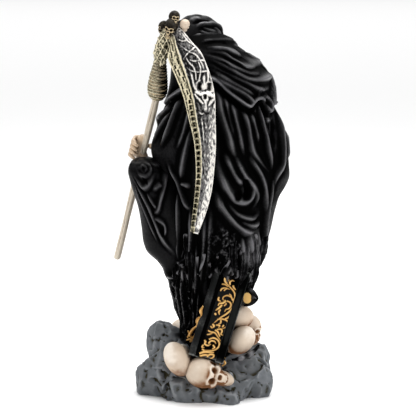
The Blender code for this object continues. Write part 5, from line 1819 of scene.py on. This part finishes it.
@dataclass
class Book:
    """The tall black book behind the feet, with raised rails and a gilt vine on its spine."""

    height: float = 70.0
    width: float = 40.0
    thickness: float = 26.5
    board: float = 3.5
    overhang: float = 1.5
    spine: float = 4.5
    relief: float = 1.1
    band: float = 5.8
    rail: float = 5.6
    foot: Point = (2.0, 41.0, 35.0)
    lean: Point = (-0.295, -0.259, 0.919)
    spine_toward: Point = (0.06, 0.96, 0.28)
    vine_thickness: float = 0.66

    def __post_init__(self) -> None:
        """Works out the book's own axes: across the spine, out of it and up along it."""
        self.up = unit(self.lean)
        out = np.asarray(self.spine_toward)
        self.out = unit(out - (out @ self.up) * self.up)
        self.side = np.cross(self.out, self.up)

    def build(self) -> None:
        """Makes and dresses the covers, the pages, the spine and the gilding."""
        half, lip, deep, tall = self.thickness / 2, self.overhang, self.spine, self.height
        inner = half - self.board
        covers = {
            "near_board": ((inner, -self.width, 0), (half, -self.rail / 2, tall)),
            "far_board": ((-half, -self.width, 0), (-inner, -lip, tall)),
            "spine_panel": ((-half + lip, -deep, lip / 2), (half - lip, -self.relief, tall)),
            "spine_band": ((-half - lip / 4, -deep, -lip / 4), (self.band - half, 0, tall + lip / 4)),
        }
        for name, (low, high) in covers.items():
            dressed(self.plank(name, low, high, 0.6), BOOK_BLACK, Slot.BOOK, Node.STATUE, (4, 0.22, 12))
        low, high = (-half + lip, lip - self.width, lip), (half - lip, -deep / 2, tall - lip)
        dressed(self.plank("page_block", low, high, 0.3), PAPER, Slot.BOOK, Node.STATUE, (4, 0.2))
        bars = grown("spine_rails", Trees.sweep(), self.rails(), {"Sides": 24}, BOOK_BLACK)
        dressed(bars, BOOK_BLACK, Slot.BOOK, Node.STATUE, (6, 0.16, -1))
        vine = grown("gilt_vine", Trees.sweep(), self.vine(), {"Sides": 10}, GILT)
        # Darker on the flanks that turn away from the spine's face, lighter where the vine faces straight
        # out.
        level = mesh_places(vine.data)[1] @ self.out
        set_share(vine, "wear_and_painted_light", 0.20 - 0.66 * smooth_step(level, 0.92, 0.35))
        dressed(vine, GILT, Slot.GILT, Node.STATUE, (2, 0.25, -1))
        for name, lines, finish, slot in (
            ("gilt_scrolls", GILT_SCROLLS, GILT, Slot.GILT), ("gilt_disc", GILT_DISC, GILT, Slot.GILT),
            ("cupped_fold", CUPPED_FOLD, CLOTH, Slot.ROBE),
        ):
            tables = [through(line, 6 * len(line)) for line in lines]
            bars = [(VIEW.spot(*table[:, :3].T), table[:, 3]) for table in tables]
            piece = grown(name, Trees.sweep(), bars, {"Sides": 20}, finish)
            dressed(piece, finish, slot, Node.STATUE, (4, 0.3, -1))

    def place(self, across: Any, out: Any, up: Any) -> Array:
        """Turns the book's own measures into places.

        Args:
            across: Measures across the spine in mm.
            out: Measures out of the spine.
            up: Measures up the spine.

        Returns:
            The places in mm, on a last axis of three.
        """
        across, out, up = np.broadcast_arrays(*(np.asarray(v, float) for v in (across, out, up)))
        return (
            np.asarray(self.foot) + across[..., None] * self.side + out[..., None] * self.out
            + up[..., None] * self.up
        )

    def plank(self, name: str, low: Point, high: Point, edge: float) -> Piece:
        """Makes a board with soft edges.

        Args:
            name: The piece's name.
            low: Its lowest corner in the book's own measures.
            high: Its highest corner.
            edge: How far its edges are rounded, in mm.

        Returns:
            The board's object.
        """
        block = bmesh.new()
        bmesh.ops.create_cube(block, size=1.0)
        span = np.array(high, float) - np.array(low, float)
        for vert in block.verts:
            vert.co = Vector(np.array(low) + (np.array(vert.co) + 0.5) * span)
        bmesh.ops.bevel(block, geom=block.edges[:], offset=edge, segments=3, affect="EDGES", profile=0.5)
        cuts = [side for side in block.edges if side.calc_length() > 6 * edge]
        bmesh.ops.subdivide_edges(block, edges=cuts, cuts=14, use_grid_fill=True)
        bmesh.ops.recalc_face_normals(block, faces=block.faces)
        block.verts.ensure_lookup_table()
        block.verts.index_update()
        local = np.array([vert.co for vert in block.verts])
        faces = [[vert.index for vert in face.verts] for face in block.faces]
        block.free()
        wear = fractal(local, 7.0, 2, span[2])
        local = local + unit(local - (np.array(low) + span / 2)) * (0.18 * wear)[:, None]
        return new_piece(name, self.place(*local.T), faces)

    def rails(self) -> Bars:
        """Lays out the spine's two rails.

        Returns:
            The rounded outer rail and the thin one inside it, with their thickness, in mm.
        """
        radius = self.rail / 2
        levels = np.linspace(-0.01, 1.01, 60) * self.height
        worn = 1.0 + 0.03 * np.sin(levels / 3.1)
        outer = self.place(self.thickness / 2 - radius, -radius, levels)
        inner = self.place(self.thickness / 2 - 2.4 * radius, -self.relief - 0.2, levels)
        return [(outer, radius * worn), (inner, 1.25 * worn)]

    def vine(self) -> Bars:
        """Lays out the gilt vine on the spine.

        Returns:
            Its stems and leaves with their thickness, in mm.
        """
        base = self.place(0.0, -self.relief + 0.15, 0.0)
        lines = []
        for size, points in VINE:
            count = 5 * len(points)
            taper = 0.35 + 0.65 * np.sin(np.linspace(0.25, 1.0, count) * math.pi) ** 0.6
            spots = VIEW.on_plane(through(points, count), base, self.out)
            lines.append((spots, size * taper * self.vine_thickness))
        return lines


# The ends of the shaft's axis and its length (mm)
SHAFT_FOOT = (70.9, -27.0, 96.3)
SHAFT_HEAD = (25.2, 25.0, 275.6)
SHAFT_LENGTH = 192.0
# The collar's and the socket's axes, foot to head: back-view pixel, depth (mm) and share of the width
COLLAR = (
    ((156.4, 99.5), 9.4, 0.42), ((156.8, 96.5), 10.2, 0.80), ((157.4, 91), 11.5, 1.0),
    ((158, 82), 13.5, 0.97), ((159, 72), 15.7, 0.82), ((160, 62), 17.8, 0.64), ((160.6, 58), 18.6, 0.50),
)
SOCKET = (
    ((160.2, 63), 17.6, 0.70), ((161, 55), 19.3, 1.0), ((163, 46), 21.2, 1.0), ((166, 37), 23.0, 0.92),
    ((169.5, 29), 24.6, 0.80), ((171, 24), 25.4, 0.45),
)
# The small skulls round the socket: back-view pixel, depth (mm), facing and size
FINIALS = (
    ((170.5, 28), 28.0, (0.25, 0.93, -0.25), 1.0),
    ((174.5, 18.5), 27.0, (-0.3, 0.9, 0.1), 0.82),
    ((185.0, 25.5), 26.0, (-0.6, -0.7, 0.0), 0.66),
    ((163.0, 27), 24.0, (0.9, 0.3, 0.0), 0.66),
)
# The blade, root to tip: pixels of its strip's back, of the strip's rim and of the edge, and depth (mm)
BLADE = (
    ((164, 40), (167, 34), (174, 30), 26.5), ((170, 42), (173, 35), (181, 29), 29.5),
    ((169, 50), (176, 46), (192, 42), 33), ((168, 59), (180, 57), (202, 54), 37),
    ((176, 78), (187, 78), (211, 77), 42), ((183, 96), (192.5, 96), (215, 97), 45),
    ((188.5, 118), (196, 118), (215.5, 118), 46), ((194, 142), (200, 142), (216, 142), 46),
    ((196, 168), (201, 168), (214.5, 168), 46), ((195, 192), (199, 192), (211.5, 192), 45),
    ((192.5, 214), (196, 214), (206, 213), 44), ((190.5, 231), (193.5, 233), (198, 234), 43),
)
# Relief on the blade's face, in pixels: thin bones crossing at its root, a horned mask and long ribs
BLADE_RELIEF = (
    Ridge(0.8, 1.0, ((177, 43), (188, 51), (196, 55), (202, 64), (205, 74))),
    Ridge(0.8, 1.0, ((182, 61), (188, 53), (196, 46), (199, 42))),
    Ridge(0.7, 0.9, ((181, 32), (188, 41), (195, 46), (202, 56))),
    Ridge(0.8, 1.0, ((184, 52), (188, 61), (194, 68), (196, 78), (194, 84))),
    Ridge(0.8, 1.0, ((195, 56), (200, 66), (200, 76), (197, 84))),
    Ridge(0.8, 1.0, ((203, 56), (207, 68), (208, 78), (206, 86))),
    Ridge(0.7, 0.9, ((184, 64), (190, 70), (199, 72), (208, 71), (212, 74))),
    Ridge(0.7, 0.9, ((188, 59), (194, 61), (201, 60), (206, 62))),
    Ridge(0.6, 0.8, ((186, 72), (191, 77), (198, 80), (206, 79))),
    Ridge(0.6, 0.8, ((176, 38), (183, 41), (189, 38))),
    Ridge(1.7, 2.0, ((190, 70), (192.5, 79), (195, 88), (200, 94))),
    Ridge(1.7, 2.0, ((211, 71), (213.5, 79), (213, 88), (209, 95))),
    Ridge(1.7, 2.4, ((203.6, 74), (204.2, 83), (204.8, 92))),
    Ridge(2.0, 3.0, ((196, 92), (200, 94), (205, 93.5), (210, 94.5), (215, 97)), False),
    Ridge(2.2, 3.8, ((204.6, 97), (205.5, 103), (206.3, 108)), False),
    Ridge(1.6, 2.0, ((195, 94), (199, 99), (203, 103)), False),
    Ridge(1.6, 2.0, ((215, 98), (211.5, 101), (208.5, 105)), False),
    Ridge(-3.6, 2.8, ((199.2, 84.5), (199.4, 88.5)), False),
    Ridge(-3.6, 2.8, ((209.2, 85), (209.4, 89)), False),
    Ridge(-3.2, 2.2, ((205, 95.6), (205, 98)), False),
    Ridge(0.6, 0.9, ((201, 116), (203, 130), (204, 148))),
    Ridge(0.7, 0.9, ((199, 112), (202, 114), (205, 112))),
)


@dataclass
class Scythe:
    """The scythe: bone shaft, cord-wound collar, carved socket, finial skulls and antiqued blade."""

    shaft_length: float = SHAFT_LENGTH
    shaft_width: float = 5.2
    shaft_unevenness: float = 0.05
    top_share: float = 0.22
    collar_width: float = 15.5
    socket_width: float = 11.5
    blade_thickness: float = 6.2
    edge_thickness: float = 1.2
    finial_length: float = 12.5
    blade_rows: int = 420
    cord_turns: float = 13.5
    edge_wear: float = 0.34
    mask_wear: float = 0.20
    mask_middle: Point = (205.5, 96.0)

    def build(self) -> None:
        """Makes and dresses every part of the scythe."""
        dressed(self.shaft(), SHAFT_BONE, Slot.SHAFT, Node.SCYTHE, (10, 0.25))
        core = self.bar("collar_core", COLLAR, self.collar_width * 0.88, 60, 40)
        dressed(core, DARK_BONE, Slot.SCYTHE, Node.SCYTHE, (4, 0.3))
        for number, (turns, thick) in enumerate(((self.cord_turns, 0.40), (-3.3, 0.42), (-7.6, 0.30))):
            cord = self.winding(f"collar_cord_{number + 1}", turns, thick)
            places = mesh_places(cord.data)[0]
            # The cords are painted a little darker overall and darker still towards their right side, as
            # painted shade from light that falls from the left.
            set_share(cord, "wear_and_painted_light", -0.12 - 0.56 * smooth_step(VIEW.pixel(places)[:, 0], 156.0, 166.0))
            dressed(cord, OLD_BONE, Slot.SCYTHE, Node.SCYTHE, (2, 0.25))
        dressed(self.socket(), OLD_BONE, Slot.SCYTHE, Node.SCYTHE, (10, 0.4))
        up = unit(np.subtract(SHAFT_HEAD, SHAFT_FOOT))
        for number, (pixel, depth, facing, share) in enumerate(FINIALS):
            length = self.finial_length * share
            place = VIEW.spot(*pixel, depth)
            skull = SKULL.piece(f"finial_skull_{number + 1}", place, facing, up, length, 6)
            finish = BONE if number == 2 else DARK_BONE
            dressed(skull, finish, Slot.SCYTHE, Node.SCYTHE, (14, 0.26, -1))
        self.blade()

    def shaft(self) -> Piece:
        """Makes the shaft, uneven in thickness and grooved along its length.

        Returns:
            The shaft's object.
        """
        head = np.asarray(SHAFT_HEAD)
        up = unit(head - SHAFT_FOOT)
        side = unit(np.cross(up, RING_AIM))
        other = np.cross(up, side)
        turn = circle(36)
        rings = []
        for down in np.linspace(self.shaft_length, self.top_share * self.shaft_length, 240):
            swell = 1.0 + self.shaft_unevenness * math.sin(down / 9.0)
            groove = 0.05 * np.sin(5 * turn + 0.9 * math.sin(down / 17))
            groove = groove + 0.03 * np.sin(11 * turn + down / 8)
            radius = self.shaft_width / 2 * swell * (0.97 + groove)
            if down > self.shaft_length - 1.2:
                radius = radius * 0.86
            ring = np.cos(turn)[:, None] * side + np.sin(turn)[:, None] * other
            rings.append(head - up * down + ring * radius[:, None])
        return loft("shaft", np.array(rings))

    def axis(self, stations: Any, count: int) -> tuple[Array, Array]:
        """Draws a round form's axis through its stations.

        Args:
            stations: Back-view pixels, depths and shares of the width.
            count: How many points the axis gets.

        Returns:
            The axis's places in mm and its shares of the width.
        """
        table = through([(*pixel, depth, share) for pixel, depth, share in stations], count)
        return VIEW.spot(table[:, 0], table[:, 1], table[:, 2]), table[:, 3]

    def bar(self, name: str, stations: Any, width: float, rows: int, sides: int) -> Piece:
        """Makes a round form along an axis.

        Args:
            name: The piece's name.
            stations: Its axis as back-view pixels, depths and shares of the width.
            width: Its width in mm.
            rows: How many rings it has.
            sides: How many points a ring has.

        Returns:
            The form's object.
        """
        places, shares = self.axis(stations, rows)
        along = unit(np.gradient(places, axis=0))
        side = unit(np.cross(along, RING_AIM))
        other = np.cross(along, side)
        turn = circle(sides)[None, :, None]
        ring = np.cos(turn) * side[:, None] + np.sin(turn) * other[:, None]
        return loft(name, places[:, None] + ring * (shares * width / 2)[:, None, None])

    def winding(self, name: str, turns: float, thick: float) -> Piece:
        """Winds a cord round the collar.

        Args:
            name: The piece's name.
            turns: How often it goes round; negative turns slant the other way.
            thick: The cord's radius in mm.

        Returns:
            The cord.
        """
        places, shares = self.axis(COLLAR, 40)
        keep = slice(2, -3)
        line = (places[keep], shares[keep] * self.collar_width / 2 - 0.60)
        values = {"Turns": turns, "Cord Radius": thick * MM, "Steps": 700}
        return grown(name, Trees.winding(), [line], values, OLD_BONE)

    def socket(self) -> Piece:
        """Makes the bone socket, carved with ribs that cross over ovals.

        Returns:
            The socket's object.
        """
        piece = self.bar("socket", SOCKET, self.socket_width * 0.97, 110, 110)
        places, normals = mesh_places(piece.data)
        seen = VIEW.pixel(places)
        bent = seen + 1.6 * np.stack([fractal(places, 6.0, 2, 5.0), fractal(places, 6.0, 2, 9.0)], axis=1)
        wave = np.sin(bent[:, 0] * 0.52 + bent[:, 1] * 0.27) * np.sin(bent[:, 0] * 0.47 - bent[:, 1] * 0.30)
        cross = 0.75 * smooth_step(-np.abs(wave), -0.30, -0.03)
        rough = 0.35 * fractal(places, 2.0, 3, 8.0)
        diagonal = ridge_field(seen, [(Ridge(1.2, 2.2, ()), through(((157, 68), (166, 60)), 8))], 0.4)
        move_points(piece, places + normals * (cross + rough + diagonal - 0.3)[:, None])
        # Painted light on the socket's left side and painted shade on its right, as from light that falls
        # from the left.
        set_share(piece, "wear_and_painted_light", 0.10 - 0.20 * smooth_step(-places[:, 0], -34.0, -26.0))
        return piece

    def stations(self, rows: int) -> Array:
        """Returns the blade's table, root to tip, with back, rim and edge pixels and depth."""
        return through([(*back, *rim, *edge, depth) for back, rim, edge, depth in BLADE], rows)

    def blade(self) -> None:
        """Makes the silver blade and the bone strip along its back."""
        rows = self.stations(self.blade_rows)
        share = np.linspace(0.0, 1.0, self.blade_rows)
        thick = self.blade_thickness * (1.0 - 0.35 * share) * np.minimum(1.0, 0.5 + 4.0 * share)
        back = VIEW.spot(rows[:, 0], rows[:, 1], rows[:, 6] - 1.6)
        rim = VIEW.spot(rows[:, 2], rows[:, 3], rows[:, 6])
        edge = VIEW.spot(rows[:, 4], rows[:, 5], rows[:, 6] - 2.0)
        across = unit(edge - rim)
        belly = (rim + edge) / 2 + TOWARD_EYE * (thick * 0.10)[:, None]
        rear_rim = rim - TOWARD_EYE * thick[:, None]
        rear_edge = edge - TOWARD_EYE * self.edge_thickness * 1.5
        face = [rim + across * 0.2, belly, edge, rear_edge, rear_rim]
        rings = self.section(face, (26, 26, 3, 30, 6))
        silver = self.carved("blade", rings, BLADE_RELIEF, 0.26, 3.0)
        dressed(silver, SILVER, Slot.SCYTHE, Node.SCYTHE, (22, 0.42, 60))
        outer = back - TOWARD_EYE * (thick - 1.6)[:, None] + across * 0.6
        strip = [back, rim + across * 0.5, rim - TOWARD_EYE * (thick * 0.9)[:, None], outer]
        rings = self.section(strip, (22, 4, 12, 6))
        bone = self.carved("blade_strip", rings, self.pierced(rows), 0.20, 2.0)
        places = mesh_places(bone.data)[0]
        set_share(bone, "wear_and_painted_light", 0.07 + 0.08 * smooth_step(VIEW.pixel(places)[:, 1], 108.0, 96.0))
        dressed(bone, OLD_BONE, Slot.SCYTHE, Node.SCYTHE, (12, 0.34, 12))

    def section(self, corners: list[Array], counts: Point) -> Array:
        """Fills the ring of each section between its corners.

        Args:
            corners: Each corner's places along the blade.
            counts: How many points each side of the ring gets.

        Returns:
            The rings, root to tip, in mm.
        """
        sides = []
        for start, stop, count in zip(corners, corners[1:] + corners[:1], counts):
            share = np.linspace(0.0, 1.0, count, endpoint=False)[None, :, None]
            sides.append(start[:, None] * (1 - share) + stop[:, None] * share)
        return np.concatenate(sides, axis=1)

    def carved(self, name: str, rings: Array, ridges: Sequence[Ridge], rough: float, size: float
               ) -> Piece:
        """Carves a relief into the side of a form that the back view shows.

        Args:
            name: The piece's name.
            rings: Its rings in mm.
            ridges: The relief, in pixels.
            rough: Height of its uneven casting in mm.
            size: Width of the casting's bumps in mm.

        Returns:
            The form's object.
        """
        places = rings.reshape(-1, 3)
        seen = VIEW.pixel(places)
        ahead = smooth_step(places[:, 1] - np.repeat(rings[:, :, 1].min(axis=1), rings.shape[1]), 1.0, 2.4)
        lines = [(ridge, ridge.drawn(6)) for ridge in ridges]
        height = ridge_field(seen, lines, 0.35)
        stretched = places * (1.0, 1.0, 0.45)
        uneven = 0.8 - 2.4 * np.abs(fractal(stretched, size, 3, 3.0))
        uneven = uneven + 0.8 * fractal(stretched, size / 2.4, 2, 6.0)
        root = 1.0 - 0.25 * smooth_step(seen[:, 1], 92.0, 70.0)
        lift = (height + rough * root * uneven) * (0.25 + 0.75 * ahead)
        places = places + lift[:, None] * TOWARD_EYE
        piece = loft(name, places.reshape(rings.shape))
        set_share(piece, "wear_and_painted_light", np.append(self.worn(seen), (0.0, 0.0)))
        return piece

    def worn(self, seen: Array) -> Array:
        """Finds how much more the blade's paint is worn off: most at its edge, on the mask and low down.

        Args:
            seen: Pixels of the blade, one on each row.

        Returns:
            The extra wear at each pixel.
        """
        edge = np.interp(seen[:, 1], [row[2][1] for row in BLADE], [row[2][0] for row in BLADE])
        bright = self.edge_wear * smooth_step(edge - seen[:, 0], 9.0, 1.0)
        across, down = (seen - self.mask_middle).T
        mask = smooth_step(np.abs(down), 15.0, 10.0) * smooth_step(seen[:, 0], 194.0, 196.0)
        mask = self.mask_wear * mask * smooth_step(np.abs(across), 15.0 - 0.9 * down, 9.0 - 0.9 * down)
        return bright + mask + 0.10 * smooth_step(seen[:, 1], 108, 150) - 0.10

    def pierced(self, rows: Array) -> list[Ridge]:
        """Lays out the strip's carving: ovals at its broad root, then a row of holes between ribs.

        Args:
            rows: The blade's table, as stations() gives it.

        Returns:
            The relief, in pixels.
        """
        draw = np.random.default_rng(31)
        run = np.concatenate([[0.0], np.cumsum(np.linalg.norm(np.diff(rows[:, 0:2], axis=0), axis=1))])
        made = []

        def at(length: float, share: float) -> tuple[float, float]:
            """Returns the pixel at a length along the strip and a share across it."""
            line = rows[:, 0:2] * (1 - share) + rows[:, 2:4] * share
            return tuple(float(np.interp(length, run, line[:, k])) for k in (0, 1))

        for share, height in ((0.06, 0.5), (0.97, 0.6)):
            rib = tuple(at(length, share) for length in np.linspace(8, run[-1], 30))
            made.append(Ridge(height, 1.1, rib, False))
        length = 12.0
        while length < run[-1] - 6.0:
            pierced = length > 0.32 * run[-1]
            hole = draw.uniform(1.6, 3.4) if pierced else draw.uniform(2.0, 5.0)
            share = draw.uniform(0.50, 0.58) if pierced else 0.50 + 0.26 * math.sin(1.3 * length)
            height, width = (-3.0, 2.0) if pierced else (-0.9, 1.2)
            made.append(Ridge(height, width, (at(length, share), at(length + hole, share)), False))
            length += hole + (draw.uniform(2.8, 3.8) if pierced else draw.uniform(2.0, 4.0))
        return made


@dataclass
class Hands:
    """The bony left fist on the shaft and the half-open right hand before the waist."""

    grip_share: float = 0.50
    fist: float = 6.4
    pitch: float = 3.5
    finger: float = 3.4
    left_elbow: Point = (40, 6, 158)
    right_wrist: Line = ((-42, -26, 182), (-34, -37, 187), (-28, -45, 190), (-25, -49, 191))
    right_fingers: Line = ((8.5, 4.0), (9.6, 1.2), (9.2, -1.8), (7.6, -4.6))
    shaft_length: float = SHAFT_LENGTH

    def build(self) -> None:
        """Makes and dresses both hands."""
        for name, lines in (("left_fist", self.fist_bones()), ("right_hand", self.right_bones())):
            bones = grown(name, Trees.sweep(), lines, {"Sides": 16}, HAND_BONE)
            dressed(bones, HAND_BONE, Slot.BONE, Node.STATUE, (5, 0.35))

    def knuckled(self, count: int, radius: float) -> Array:
        """Finds a finger's thickness along its length, with a swelling at each joint.

        Args:
            count: How many points the finger has.
            radius: Its radius in mm.

        Returns:
            The thickness at each point, in mm.
        """
        share = np.linspace(0.0, 1.0, count)
        swell = sum(np.exp(-(((share - joint) / 0.07) ** 2)) for joint in (0.04, 0.40, 0.72))
        return radius * (0.80 + 0.34 * swell) * smooth_step(share, 1.12, 0.86)

    def fist_bones(self) -> Bars:
        """Lays out the left fist round the shaft.

        Returns:
            Its bones with their thickness, in mm.
        """
        head = np.asarray(SHAFT_HEAD)
        up = unit(head - SHAFT_FOOT)
        grip = head - up * self.grip_share * self.shaft_length
        toward = unit(TOWARD_EYE - (TOWARD_EYE @ up) * up)
        left = unit(np.cross(toward, up))
        left = left * math.copysign(1.0, left[0])
        heart = grip + left * (self.fist * 0.40)
        levels = through([[s] for s in (-10, -7, 0, 6, 8.5)], 24)
        palm = heart - toward * self.fist * 0.55 + levels * up
        widths = through([[w] for w in (2.6, 4.6, 5.2, 4.4, 2.4)], 24)[:, 0]
        lines = [(palm, widths)]
        for number in range(4):
            points = []
            for turn in np.linspace(-1.9, 1.25, 26):
                around = left * math.cos(turn) + toward * math.sin(turn)
                level = 6.5 - self.pitch * number - 1.1 * (turn + 1.9)
                points.append(heart + around * self.fist + up * level)
            lines.append((np.array(points), self.knuckled(26, self.finger / 2 * 1.1)))
        thumb = []
        for turn in np.linspace(-1.3, 0.5, 18):
            around = -left * math.cos(turn) + toward * math.sin(turn)
            thumb.append(grip + around * self.fist * 0.82 + up * (3.0 + 2.0 * turn))
        lines.append((np.array(thumb), self.knuckled(18, self.finger / 2 * 1.1)))
        start = heart - toward * self.fist * 0.55 - up * 4.0
        wrist = start + np.linspace(0.0, 0.8, 12)[:, None] * (np.asarray(self.left_elbow) - start)
        lines.append((wrist, 4.2))
        return lines

    def right_bones(self) -> Bars:
        """Lays out the half-open right hand.

        Returns:
            Its bones with their thickness, in mm.
        """
        wrist = through(self.right_wrist, 16)
        lines = [(wrist, through([[w] for w in (4.2, 4.0, 4.0, 4.6, 5.2, 4.4)], 16)[:, 0])]
        palm = wrist[-1]
        ahead, side = np.array((0.50, -0.86, 0.08)), np.array((0.0, 0.0, 1.0))
        inward = np.cross(ahead, side)
        for length, offset in self.right_fingers:
            base = palm + side * offset - ahead * 2.0
            knuckle = base + ahead * length * 0.5 - inward
            bend = base + ahead * length + inward * 1.5
            tip = base + ahead * length * 0.9 + inward * 6.0
            lines.append((through((base, knuckle, bend, tip), 22), self.knuckled(22, self.finger / 2)))
        joint = palm + ahead * 4 + inward * 5 + side * 6
        thumb = through((palm + side * 3, joint, palm + ahead * 8 + inward * 8 + side * 5), 16)
        lines.append((thumb, self.knuckled(16, self.finger / 2)))
        return lines


@dataclass
class Studio:
    """The pale floor, the soft light and the camera behind the figure."""

    floor_size: float = 30.0
    floor_colour: Colour = (0.95, 0.95, 0.95)
    sky: float = 0.14
    backdrop: float = 780.0
    top: float = 15.0
    side: float = 9.0

    def build(self) -> None:
        """Sets up the floor, the lights, the world and the camera."""
        self.floor()
        self.lights()
        self.world()
        self.camera()

    def floor(self) -> None:
        """Lays the floor."""
        mesh = bmesh.new()
        bmesh.ops.create_grid(mesh, x_segments=1, y_segments=1, size=self.floor_size)
        made = bpy.data.meshes.new("floor")
        mesh.to_mesh(made)
        mesh.free()
        floor = linked("floor", made)
        paint = bpy.data.materials.new("pale_floor")
        paint.use_nodes = True
        shader = paint.node_tree.nodes["Principled BSDF"]
        shader.inputs["Base Color"].default_value = (*self.floor_colour, 1.0)
        shader.inputs["Roughness"].default_value = 0.6
        shader.inputs["Specular IOR Level"].default_value = 0.2
        made.materials.append(paint)

    @staticmethod
    def aimed(thing: Piece, place: Vector, look: Vector) -> None:
        """Puts a lamp or the camera in its place, in metres, and turns it to look along a direction."""
        turn = look.to_track_quat("-Z", "Y").to_matrix().to_4x4()
        thing.matrix_world = Matrix.Translation(place) @ turn

    def lamp(self, name: str, place: Point, size: Point, power: float,
             aim: Point = (0.0, 0.0, 0.14)) -> None:
        """Hangs a soft light.

        Args:
            name: The lamp's name.
            place: Where it hangs, in metres.
            size: Its width and height in metres.
            power: Its power in watts.
            aim: The place that it looks at, in metres.
        """
        light = bpy.data.lights.new(name, "AREA")
        light.shape = "RECTANGLE"
        light.size, light.size_y = size
        light.energy = power
        self.aimed(linked(name, light), Vector(place), Vector(aim) - Vector(place))

    def lights(self) -> None:
        """Hangs a wide light over the backdrop, one over the figure and one at each side."""
        self.lamp("backdrop_light", (0.0, -6.8, 4.0), (14.0, 14.4), self.backdrop, (0.0, -6.8, 0.0))
        self.lamp("top_light", (-0.1, -0.10, 1.1), (1.2, 0.9), self.top)
        self.lamp("right_light", (-1.1, 0.70, 0.55), (0.4, 0.8), self.side)
        self.lamp("left_light", (1.1, 0.70, 0.55), (0.4, 0.8), self.side * 0.8)

    def world(self) -> None:
        """Makes the pale surroundings."""
        world = bpy.data.worlds.new("pale_surroundings")
        world.use_nodes = True
        shader = world.node_tree.nodes["Background"]
        shader.inputs["Color"].default_value = (1.0, 1.0, 1.0, 1.0)
        shader.inputs["Strength"].default_value = self.sky
        bpy.context.scene.world = world
        bpy.context.scene.view_settings.view_transform = "Standard"

    def camera(self) -> None:
        """Sets the camera where the back view's eye is."""
        data = bpy.data.cameras.new("camera")
        data.sensor_width = 36.0
        data.lens = VIEW.focal / VIEW.width * data.sensor_width
        data.clip_start = 0.01
        camera = linked("camera", data)
        eye = Vector((0.0, VIEW.distance, VIEW.height)) * MM
        self.aimed(camera, eye, Vector((0.0, -math.cos(VIEW.tilt), -math.sin(VIEW.tilt))))
        bpy.context.scene.camera = camera


def main() -> None:
    """Builds the figure, piece by piece, and sets up the studio."""
    logging.basicConfig(level=logging.INFO, format="%(message)s")
    Studio().build()
    for part in (Robe(), Sleeves(), Hood(), Rock(), Book(), Hands(), Scythe()):
        part.build()


if __name__ == "__main__":
    main()
